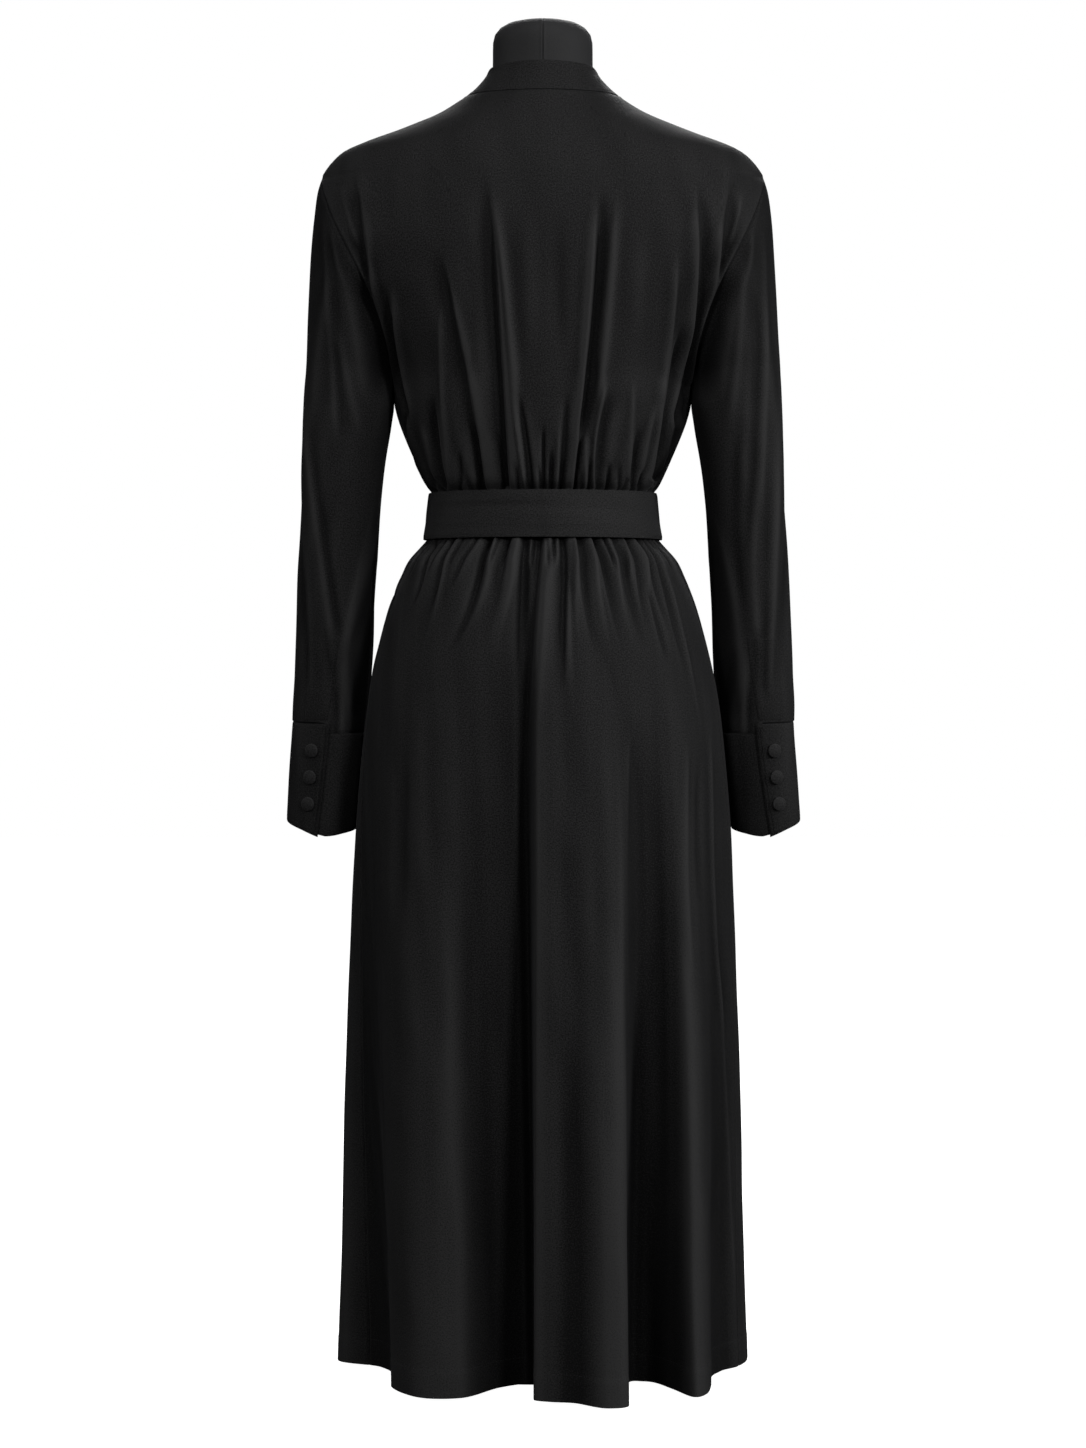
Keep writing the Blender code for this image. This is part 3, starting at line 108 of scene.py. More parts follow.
# ---- sizes that several pieces share, in millimetres ----
WAIST = 805.5
BELT_TOP = 827.5
BELT_BOTTOM = 783.5
HEM = 5.0
UNDERARM = 928.0
SHOULDER_TIP = 1128.0
NECK_SEAM = 1202.0
NECK_SEAM_RISE = 2.0
NECK_EDGE = 1230.4
NECK_EDGE_DROP = 2.4
NECK_CORNER = 1190.0
SEAM_GAP = 0.3
CREPE_SHELL = 1.0
BAND_SHELL = 1.8
# Reach and weight of the blurs, and the limit, of the painted shading that darkens troughs and lightens
# crests in the cloth's colour.
BULGE_REACH = ((6.0, 1.0), (18.0, 0.1))
BULGE_LIMIT = 2.2
FULL_CUT = 0.97  # share of its rectangle from which a piece counts as the whole rectangle
LEAST_CUT = 0.31
MIRROR = np.array([-1.0, 1.0, 1.0])
LEVEL = np.array([1.0, 1.0, 0.0])


# ---- tables and smooth curves ----
def columns(names: str, rows: Sequence[Sequence[float]]) -> tuple:
    """A short table as its columns, by name.

    Args:
        names: The columns' names, with spaces between them.
        rows: One tuple of numbers for each row.

    Returns:
        A named tuple of arrays.
    """
    fields = names.split()
    return namedtuple("Table", fields)(*np.array(rows, float).T)


class Curve:
    """A smooth curve through rows of (at, value)."""

    def __init__(self, at: Iterable[float], value: Iterable[float], tight: bool = True) -> None:
        """Sets the slopes at the rows; tight keeps the curve from overshooting them."""
        order = np.argsort(at)
        self.at = np.asarray(at, float)[order]
        self.value = np.asarray(value, float)[order]
        step = np.diff(self.at)
        rise = np.diff(self.value) / step
        slope = np.empty_like(self.value)
        slope[1:-1] = (rise[:-1] * step[1:] + rise[1:] * step[:-1]) / (step[:-1] + step[1:])
        slope[0], slope[-1] = rise[0], rise[-1]
        if tight:
            slope[1:-1][rise[:-1] * rise[1:] <= 0] = 0
            limit = 3 * np.minimum(np.abs(rise[:-1]), np.abs(rise[1:]))
            slope[1:-1] = np.clip(slope[1:-1], -limit, limit)
        self.slope = slope

    def __call__(self, x: Array | float) -> Array:
        """The curve's values at x, held at the first and last row outside them."""
        x = np.clip(np.asarray(x, float), self.at[0], self.at[-1])
        i = np.clip(np.searchsorted(self.at, x, side="right") - 1, 0, len(self.at) - 2)
        step = self.at[i + 1] - self.at[i]
        t = (x - self.at[i]) / step
        return (
            (1 + 2 * t) * (1 - t) ** 2 * self.value[i]
            + t * (1 - t) ** 2 * step * self.slope[i]
            + t * t * (3 - 2 * t) * self.value[i + 1]
            + t * t * (t - 1) * step * self.slope[i + 1]
        )


def eased(curve: Curve, width: float, start: float, end: float) -> Curve:
    """The curve, evened out above a height.

    Args:
        curve: The curve.
        width: How far the evening reaches.
        start: Where it begins to take hold.
        end: Where it holds fully.

    Returns:
        A new curve with many rows.
    """
    at = np.linspace(curve.at[0], curve.at[-1], 1201)
    step = at[1] - at[0]
    reach = int(3 * width / step)
    raw = curve(at)
    padded = np.pad(raw, reach, mode="reflect", reflect_type="odd")
    kernel = bell(np.arange(-reach, reach + 1) * step, width)
    even = np.convolve(padded, kernel / kernel.sum(), mode="valid")
    return Curve(at[::3], (raw + (even - raw) * ramp(at, start, end))[::3])


def curves(table: tuple) -> tuple:
    """One Curve for each column of a table, against its first column."""
    fields = table._fields[1:]
    return namedtuple("Curves", fields)(*(Curve(table[0], getattr(table, f)) for f in fields))


def ramp(x: Array | float, start: float, end: float) -> Array:
    """0 before start, 1 after end, smooth between."""
    t = np.clip((np.asarray(x, float) - start) / (end - start), 0, 1)
    return t * t * (3 - 2 * t)


def norm(vectors: Array) -> Array:
    """The vectors' lengths."""
    return np.linalg.norm(vectors, axis=-1)


def unit(vectors: Array) -> Array:
    """The vectors at a length of 1."""
    return vectors / np.maximum(norm(vectors), 1e-9)[..., None]


def bell(distance: Array, width: Array | float) -> Array:
    """1 on a line and 0 away from it."""
    return np.exp(-((distance / width) ** 2))


def places(start: float, end: float, count: int, spots: Iterable[tuple]) -> Array:
    """Places from start to end that crowd at given spots.

    Args:
        start: First place.
        end: Last place.
        count: How many places.
        spots: Tuples of (place, how much denser it is there, width of the crowd).

    Returns:
        The places in order.
    """
    fine = np.linspace(start, end, 4001)
    density = np.ones_like(fine)
    for at, extra, width in spots:
        density += extra * bell(fine - at, width)
    filled = np.concatenate([[0], np.cumsum(0.5 * (density[1:] + density[:-1]))])
    found = np.interp(np.linspace(0, filled[-1], count), filled, fine)
    found[0], found[-1] = start, end
    return found


def ripple(across: Array, along: Array, seed: int, size: float = 1.0) -> Array:
    """Slight unevenness of hanging cloth, longer down the cloth than across it.

    Args:
        across: Distance across, in mm.
        along: Distance along, in mm.
        seed: Fixes the pattern.
        size: Height of the unevenness, in mm.

    Returns:
        The height at each place.
    """
    draw = np.random.default_rng(seed)
    total = np.zeros(np.broadcast(across, along).shape)
    for _ in range(14):
        wide, long = draw.uniform(11, 60), draw.uniform(70, 330)
        phase, lean = draw.uniform(0, 2 * np.pi), draw.uniform(-0.09, 0.09)
        total += np.sin(2 * np.pi * ((across + lean * along) / wide + along / long) + phase) * wide / 60
    return total * size / 3.2


def oval(angle: Array, wide: Array, deep: Array, out: Array | float = 0.0) -> tuple[Array, Array]:
    """Sideways and depthwise places on an oval, moved out from it; angle 0 is in its depth."""
    sine, cosine = np.sin(angle), np.cos(angle)
    length = np.hypot(sine / wide, cosine / deep)
    return wide * sine + out * sine / wide / length, deep * cosine + out * cosine / deep / length


@dataclass(frozen=True)
class Course:
    """A bent line up the cloth, from the height low to top through three places across."""

    low: float
    top: float
    at_low: float
    at_mid: float
    at_top: float

    def line(self, z: Array) -> Array:
        """Place across at each height."""
        t = np.clip((z - self.low) / (self.top - self.low), -0.15, 1.15)
        line = self.at_low * (1 - t) * (1 - 2 * t) + self.at_mid * 4 * t * (1 - t)
        return line + self.at_top * t * (2 * t - 1)

    def fades(self, z: Array, early: float) -> tuple[Array, Array]:
        """How far it has begun and not yet ended; early is the share that lies under low."""
        starts = ramp(z, self.low - early * self.fade_low, self.low + (1 - early) * self.fade_low)
        return starts, 1 - ramp(z, self.top - 0.7 * self.fade_top, self.top + 0.3 * self.fade_top)


@dataclass(frozen=True)
class Crease(Course):
    """A soft ridge (rise over 0) or trough of the cloth.

    left and right are its half widths to either side, so that a crease may have one sharp side.
    """

    rise: float
    left: float
    right: float
    fade_low: float
    fade_top: float = 4.0

    def height(self, across: Array, z: Array, scale: Array | float = 1.0) -> Array:
        """How far the crease moves the cloth out; scale turns places across into millimetres."""
        away = (across - self.line(z)) * scale
        starts, ends = self.fades(z, 0.15)
        return self.rise * starts * ends * bell(away, np.where(away < 0, self.left, self.right))


@dataclass(frozen=True)
class Hollow(Course):
    """Cloth that falls away beyond a bent line: drop is how deep, width how soon."""

    drop: float
    width: float
    fade_low: float
    fade_top: float

    def depth(self, across: Array, z: Array) -> Array:
        """How far the cloth is moved in at places that lie nearer the body than the line."""
        starts, ends = self.fades(z, 0.5)
        return self.drop * starts * ends * ramp(self.line(z) - across, 0, self.width)


def laid(*rows: tuple) -> tuple[Crease, ...]:
    """Creases from rows of low, top, three places across, rise, half widths and fades."""
    return tuple(Crease(*row) for row in rows)


def gather(below: Array, reach: float, dip: float, away: Array, power: float, width: tuple) -> Array:
    """Depth of a gather that runs below a seam and widens, away being the distance from its line."""
    t = np.clip(below / reach, 0, 1)
    return dip * (1 - t) ** power * bell(away, width[0] * (1 + width[1] * t))


def plumped(edge: Array, full: tuple, sewn: tuple) -> Array:
    """Height of doubled cloth near its edge.

    Args:
        edge: Distance from the edge.
        full: Height inside it and how soon that is reached.
        sewn: Depth, distance from the edge and width of the dent along its stitches.

    Returns:
        The height.
    """
    return full[0] * (1 - np.exp(-edge / full[1])) - sewn[0] * bell(edge - sewn[1], sewn[2])


def open_armhole(z: Array | float) -> Array:
    """0 at the underarm, where sleeve and side meet edge to edge, and 1 away from it."""
    return 1 - ramp(z, UNDERARM - 20, UNDERARM - 10) * (1 - ramp(z, UNDERARM + 20, UNDERARM + 34))


def creased(creases: Iterable[Crease], across: Array, z: Array, scale: Array | float = 1.0) -> Array:
    """All the creases together."""
    total = np.zeros(np.broadcast(across, z).shape)
    for crease in creases:
        total = total + crease.height(across, z, scale)
    return total


# ---- the dress's pattern ----
BODICE = columns("height side back front seam_back seam_front", [
    (805.5, 106.2, 89.6, 86.8, 0, 0), (827.5, 104.6, 88.4, 85.4, 0, 0), (834, 109, 93, 90, 0, 0),
    (848, 116, 97, 95, 0, 0), (862, 122.2, 100, 100.5, 0, 0), (880, 129.9, 102.5, 108, 0, 0),
    (899, 136.9, 104, 115, 0, 0), (914, 140.5, 105, 119, 0, 0), (928, 141.5, 105.3, 121, 0, 0),
    (934, 142, 105.5, 121.8, 6, 5), (942, 143, 105.7, 122.4, 15, 13), (950, 144.2, 105.8, 122.8, 25, 21.5),
    (968, 148, 106, 122.8, 40, 34.5), (998, 156.5, 106.2, 118, 53, 44), (1028, 169, 106.2, 109, 60, 49),
    (1058, 185, 105.8, 98, 60, 49), (1088, 199, 104, 86, 50, 41), (1112, 207.2, 100, 76.5, 33, 28),
    (1121, 209.2, 98.2, 72.8, 20, 17), (1128, 209.5, 96.6, 70, 0, 0), (1133.5, 206, 94.8, 67.8, 0, 0),
    (1140.5, 201, 92.3, 64.9, 0, 0), (1147, 194.8, 90, 62, 0, 0), (1154, 184.8, 86.5, 59, 0, 0),
    (1161, 166.7, 82.8, 56, 0, 0), (1168.5, 145.4, 78.6, 53, 0, 0), (1176.5, 124.9, 74, 50.5, 0, 0),
    (1183.5, 106.9, 70, 48.8, 0, 0), (1191.5, 91.2, 65.8, 47.4, 0, 0), (1199, 79.8, 62.5, 46.5, 0, 0),
    (1207, 67.9, 60, 46, 0, 0), (1215, 60, 58, 45.6, 0, 0), (1222, 53.8, 56.5, 45.3, 0, 0),
    (1231, 50.2, 55, 45, 0, 0),
])

SKIRT = columns("height side back front", [
    (5, 194.3, 150, 150), (60, 192.5, 149.6, 149.6), (140, 190.3, 149, 148), (215, 189, 148, 146),
    (290, 187.2, 147, 143), (366, 184.3, 145.5, 139.5), (450, 181, 143.5, 135), (520, 177.2, 141.5, 131),
    (580, 172, 139.5, 127), (630, 166, 137, 123), (651.5, 162.9, 135, 120.5), (670.5, 159.1, 132.5, 118),
    (689.5, 154.4, 129, 115), (708.5, 149.2, 124.5, 111.5), (727.5, 143, 119, 107.5),
    (746.5, 135.4, 112, 103), (765.5, 125.9, 104, 98.5), (776, 116.5, 98, 94), (784, 109.8, 92.8, 90.3),
    (806, 106.2, 89.6, 86.8),
])

FOLDS = columns("hang x y top ease", [
    (-90, -194, -4, 640, 1.2), (-76, -152, -34, 640, 1.2), (-66, -139, -66, 640, 1.3),
    (-60, -139, -98, 650, 1.35), (-54, -137, -124, 660, 1.4), (-45, -113, -162, 680, 1.3),
    (-34, -75, -166, 700, 1.1), (-20, -39, -122, 720, 1), (-11, -16, -106, 770, 0.8),
    (-5.5, -7, -104, 780, 0.75), (-1.8, -8, -168, 780, 0.78), (0.5, -6, -176, 780, 0.8),
    (3, 6, -181, 775, 0.88), (9, 28, -186, 750, 1), (17, 58, -207, 700, 1.2), (21, 74, -203, 670, 1.2),
    (23.5, 77, -192, 650, 1.2), (26, 75, -150, 630, 1.1), (29, 78, -104, 620, 1), (33.5, 92, -96, 620, 1),
    (37.5, 105, -104, 625, 1.05), (41, 119, -129, 640, 1.2), (46, 136, -161, 650, 1.3),
    (51, 149, -148, 650, 1.3), (56, 154, -114, 650, 1.3), (61, 156, -79, 640, 1.3), (68, 165, -54, 640, 1.2),
    (79, 183, -31, 640, 1.2), (90, 194, 0, 640, 1.2), (101, 191, 38, 640, 1.2), (112, 160, 66, 660, 1.2),
    (122, 150, 116, 690, 1.2), (132, 118, 144, 720, 1.1), (142, 86, 116, 740, 0.9), (150, 76, 142, 740, 0.9),
    (158, 60, 180, 720, 1.1), (168, 27, 186, 720, 1.1), (178, 2, 142, 740, 0.9), (186, -12, 160, 740, 0.9),
    (194, -34, 192, 720, 1.1), (203, -72, 188, 700, 1.2), (212, -97, 160, 680, 1.2),
    (221, -105, 120, 680, 1.2), (230, -136, 128, 680, 1.2), (240, -162, 100, 670, 1.2),
    (250, -160, 62, 650, 1.2), (260, -187, 38, 640, 1.2),
])

SKIRT_GATHERS = columns("hang reach depth", [
    (-76, 60, 2.2), (-66, 75, 2.4), (-56.5, 65, 2.2), (-47, 110, 3.2), (-38, 45, 2), (-28, 115, 3.8),
    (-18, 65, 3.2), (-9, 130, 3.8), (-1.5, 110, 4), (10, 160, 4.2), (18, 50, 2.4), (25, 80, 3), (33, 95, 3),
    (43, 70, 2.8), (54, 100, 3), (65, 75, 2.4), (76, 60, 2.2),
])

BODICE_GATHERS = columns("share reach depth", [
    (-0.88, 40, 2), (-0.75, 55, 2.6), (-0.61, 70, 2.8), (-0.445, 80, 3), (-0.34, 75, 3.4), (-0.213, 90, 3.8),
    (-0.085, 60, 3.2), (0.01, 70, 2.8), (0.09, 60, 3), (0.175, 80, 3.4), (0.26, 95, 3.4), (0.385, 60, 2.6),
    (0.505, 90, 3.2), (0.62, 70, 2.8), (0.79, 60, 2.6), (0.9, 40, 2),
])

NECKBAND = columns("height seam_x edge_x edge_z", [
    (805.65, -37, -69, 805.65), (832, -30, -62, 835), (880, -14, -45, 889), (930, 5, -25.5, 941),
    (980, 22, -8.5, 991), (1030, 38, 8, 1040), (1075, 50, 19.5, 1083.5), (1115, 59, 28.5, 1123.5),
    (1150, 66, 36.5, 1163), (1175, 71, 44, 1196), (1190, 74.3, 49, 1214), (1196, 76, 50.8, 1221),
    (1204, 78, 52.8, 1228),
])

SLEEVE = columns("height outer inner half_depth centre", [
    (595, 237.8, 171, 36.2, 22.4), (601, 237.6, 170.5, 36.5, 22), (632, 236.6, 166.5, 38.5, 20),
    (670, 235.6, 163.2, 40, 17), (727, 233.8, 160, 41.5, 12), (765, 232.8, 157.2, 42.5, 9),
    (822, 230.4, 153.4, 44, 4), (860, 229, 149, 45, 1), (894, 227.7, 143.4, 46, -1),
    (913, 226.8, 140.9, 46.5, -1.2), (928, 226, 141.8, 47, -1.5),
])

SLEEVE_CAP = columns("height outer meets", [
    (928, 226, 0), (934, 225.7, 18), (950, 225, 34), (968, 224, 50), (998, 222.6, 72), (1028, 221, 95),
    (1058, 219.2, 115), (1088, 216.8, 133), (1112, 213.6, 147), (1121, 211.6, 158),
])

SLEEVE_PIT = columns("height half_depth", [(928, 47), (950, 48.3), (968, 49.6)])

SLEEVE_FOLDS = columns("angle_low angle_top low top width rise", [
    (100, 165, 690, 940, 9, 2.2), (118, 190, 640, 860, 11, -2.6), (60, 30, 620, 760, 11, 2),
    (75, 95, 610, 700, 6, -1.8), (45, 60, 610, 680, 6, -1.6), (140, 120, 880, 1090, 9, 2.4),
    (250, 215, 640, 900, 12, -2.4), (285, 300, 610, 700, 6, -1.6), (230, 240, 900, 1080, 10, 2.2),
])

SLEEVE_EDGE = columns("angle height", [
    (0, 601.2), (84, 600.7), (97, 609.7), (140, 611), (180, 611.8), (270, 604.9), (360, 601.2),
])

RIGHT_HANG = columns("height inner outer", [
    (506, 0.8, 3.7), (600, -1.2, 1.7), (640, -1.1, 3.1), (760, 1, 1.6), (880, 0, 0),
])
LEFT_HANG = columns("height inner outer", [
    (506, -2, 2), (600, -1.6, 1.2), (640, -1, 1), (760, 0.3, 0.5), (880, 0, 0),
])
CUFF = columns("turn top bottom", [
    (0, 599.7, 513), (12, 599.7, 508.3), (28, 599.7, 504.4), (36, 599.7, 503.2), (46, 599.7, 502),
    (80, 600.1, 504.5), (125, 600.6, 508.5), (215, 604.1, 513), (305, 611.1, 516.5), (355, 609.6, 510.5),
    (399, 609, 499.8),
])

BELT = columns("height side back front", [
    (783.5, 113.5, 96.5, 94), (805.5, 110.6, 93.9, 91.1), (827.5, 108.3, 92, 89),
])

FORM_BODY = columns("height side back front", [
    (548, 118, 84, 74), (555, 138, 102, 88), (575, 149, 114, 97), (620, 150, 119, 101), (690, 137, 114, 98),
    (740, 117, 98, 88), (775, 98, 81, 74), (805, 93.5, 77, 69.5), (840, 96, 78, 71.5), (885, 113, 84, 88),
    (935, 129, 88, 103.5), (985, 142, 93, 107), (1035, 155, 98, 95), (1085, 174, 98.5, 79),
    (1116, 184.5, 95, 66.5),
])

FORM_NECK = columns("height side back front", [
    (1213, 53.5, 54, 42.3), (1228, 47.7, 50.6, 41.4), (1256, 47.2, 50, 41), (1265, 44, 46.5, 38),
    (1271.5, 35.5, 38, 31), (1275, 20, 22, 18),
])

# ---- creases laid one by one ----
BACK_CREASES = laid(
    (896, 1082, -26.7, -33.4, -43.7, 3.4, 1.7, 6, 60, 80), (818, 922, -14.1, -23, -29.1, 3, 1.5, 5.5, 4, 60),
    (818, 1085, -33.5, -41.4, -49.5, -10, 11.2, 2.6, 4, 120),
    (818, 1007, -50.8, -64.4, -84.6, 2.8, 1.7, 6, 4, 40),
    (818, 1037, -55.4, -72.1, -94.4, -3.8, 11.2, 3, 4, 50),
    (818, 887, -54.7, -59.3, -63.7, -5, 5.5, 2.2, 4, 25), (818, 994, -84.9, -93.1, -94.4, 2, 2.2, 4, 4, 40),
    (818, 907, -89.9, -98.2, -102.1, -7, 7.4, 2.2, 4, 40),
    (839, 887, -102.4, -107.3, -113.5, 1.8, 2.4, 3, 4, 20),
    (818, 846, -100.7, -103.9, -107.1, -3, 2, 2, 3, 14),
    (898, 1009, -126.3, -134.6, -139.1, 2.8, 1.5, 5, 30, 40),
    (818, 914, -106.3, -121.2, -128.6, 2.4, 1.5, 5, 4, 30),
    (891, 1005, -125.2, -137.6, -145.7, -9, 7.2, 2.6, 24, 60),
    (892, 1064, -129.3, -151.7, -162.8, 3.4, 1.7, 4, 18, 80),
    (818, 1082, 26.8, 39.3, 49.1, 3.6, 5.5, 1.5, 4, 80),
    (870, 1075, 34.3, 46.9, 53.1, -10.5, 2.8, 7.7, 34, 120),
    (818, 872, 29.1, 31.5, 35, -6.5, 1.8, 2.2, 4, 14), (818, 882, 39.8, 38.7, 40.6, 1.6, 2.2, 2.4, 4, 18),
    (818, 853, 43.5, 43.9, 44.3, -3, 1.8, 2, 3, 14), (818, 923, 46.2, 47.9, 56.7, 2.8, 1.5, 4, 4, 25),
    (818, 910, 50.1, 51.5, 58.7, -4.8, 2.2, 8, 4, 30), (836, 924, 79, 81.4, 83.6, 2, 2.6, 3, 4, 30),
    (818, 879, 83.1, 85.5, 88.2, -5.5, 2.2, 5, 4, 30), (818, 904, 85, 94.2, 104.5, 2.2, 3, 2.2, 4, 25),
    (818, 847, 90.8, 91.6, 92.4, -3.4, 2, 2.2, 3, 14), (907, 1040, 109.4, 119.1, 124, 2.8, 5, 1.8, 24, 45),
    (818, 929, 100.6, 107.7, 112.2, 2.6, 4, 1.5, 4, 24), (838, 972, 105.9, 119.6, 128.9, -13, 3.6, 9, 4, 40),
    (927, 1096, 131.6, 141.7, 142.1, 3.2, 6, 1.7, 30, 80),
    (818, 944, 108.2, 123.6, 134.1, 3, 3.6, 1.5, 4, 30), (891, 1085, 127.8, 147, 147.2, -10, 3, 9, 20, 120),
    (925, 1069, 143.1, 161, 165.6, 3.4, 4.6, 1.7, 18, 60), (818, 859, 7.4, 7.8, 8.3, -5, 2, 2.4, 3, 26),
    (818, 909, 16.6, 19.6, 22.1, -3.2, 3, 3.4, 4, 35), (818, 852, 16.6, 17.5, 18.4, -3, 1.8, 2, 3, 16),
    (818, 881, 12.9, 13.8, 14.7, 1.5, 2, 2, 4, 24), (818, 881, 0.4, 0.4, 0.4, -3.4, 1.6, 1.8, 3, 20),
    (818, 909, -8.8, -14.2, -21.1, -4.2, 5.4, 2.6, 4, 40),
    (818, 876, -36.1, -39.7, -43.4, -2.8, 2.2, 2.4, 3, 20), (891, 1088, 49.7, 57, 67.3, 3, 1.5, 6, 60, 80),
    (948, 1105, 153.7, 166.8, 175, -8, 3, 10.4, 15, 120),
    (1051, 1104, 174.1, 180.3, 183.8, 2, 2.4, 2.4, 18, 18),
    (988, 1104, -159.4, -168, -173.9, -8, 11.2, 3, 15, 120),
    (1051, 1099, -173.1, -179.7, -185.6, 1.8, 2.4, 2.4, 18, 80),
    (955, 1056, -58, -62.1, -67.2, -1.4, 8, 8, 40, 80), (945, 1079, -8.3, -11.1, -11.9, 1.2, 8, 9, 60, 80),
    (946, 1070, 17.5, 16.4, 15.6, -1.6, 8, 8, 60, 80), (947, 1066, 84.1, 86.9, 89.4, 1.2, 9, 9, 60, 80),
    (818, 860, -76.5, -77, -78, -3, 1.8, 2, 3, 16), (818, 850, -60, -60.6, -61, -3, 1.8, 2, 3, 14),
    (818, 850, -22.6, -23.4, -25, -3, 1.8, 2, 3, 14), (818, 848, -2.4, -2.8, -3.4, -2.6, 1.8, 1.8, 3, 14),
    (818, 850, 60.4, 61, 61.6, -3.2, 2, 2, 3, 16), (818, 850, 70, 70.6, 71.4, -2.6, 1.8, 2, 3, 16),
    (818, 845, 35.4, 35.8, 36.4, -3, 1.8, 1.8, 3, 14),
)

# The fronts wrap across the body, so their creases run from the tie up to the far side.
WRAP_CREASES = laid(
    (818, 960, -12, 26, 74, 2, 3.5, 6, 4, 60), (818, 950, -6, 34, 80, -2.6, 5, 3, 4, 60),
    (818, 1000, 4, 54, 112, 1.9, 4, 7, 4, 70), (818, 985, 10, 60, 116, -2.4, 5, 3.5, 4, 70),
    (818, 1040, 24, 84, 142, 2.2, 4.5, 8, 4, 80), (818, 1030, 31, 90, 146, -2.8, 6, 4, 4, 80),
    (818, 1010, 50, 100, 140, 1.6, 4, 7, 4, 70), (818, 905, 20, 32, 50, -2.6, 2.4, 2.4, 3, 40),
    (818, 900, 40, 52, 68, -2.9, 2.4, 2.6, 3, 40), (818, 890, 62, 72, 86, -2.9, 2.2, 2.4, 3, 34),
    (818, 880, 80, 88, 98, -2.6, 2.2, 2.2, 3, 30), (818, 870, -22, -12, -1, -2.6, 2.2, 2.2, 3, 30),
    (1010, 1120, 60, 74, 96, 1.3, 8, 10, 60, 60), (960, 1100, 120, 132, 150, -1.6, 7, 7, 50, 50),
    (940, 1095, 150, 164, 172, 2.4, 5, 3, 20, 30), (960, 1085, 162, 172, 178, -3.2, 3, 5, 20, 30),
)
UNDER_CREASES = laid(
    (818, 1000, -82, -96, -118, 1.8, 6, 4, 4, 70), (818, 990, -89, -104, -124, -2.2, 3.5, 5, 4, 70),
    (818, 920, -74, -82, -92, -2.9, 2.4, 2.6, 3, 50), (900, 1060, -60, -78, -100, 1.4, 8, 8, 60, 60),
    (930, 1070, -40, -66, -90, -1.4, 7, 7, 60, 60), (1010, 1120, -66, -82, -104, 1.2, 9, 9, 60, 60),
    (940, 1095, -150, -164, -172, 2.2, 3, 5, 20, 30), (960, 1085, -162, -172, -178, -3, 5, 3, 20, 30),
)

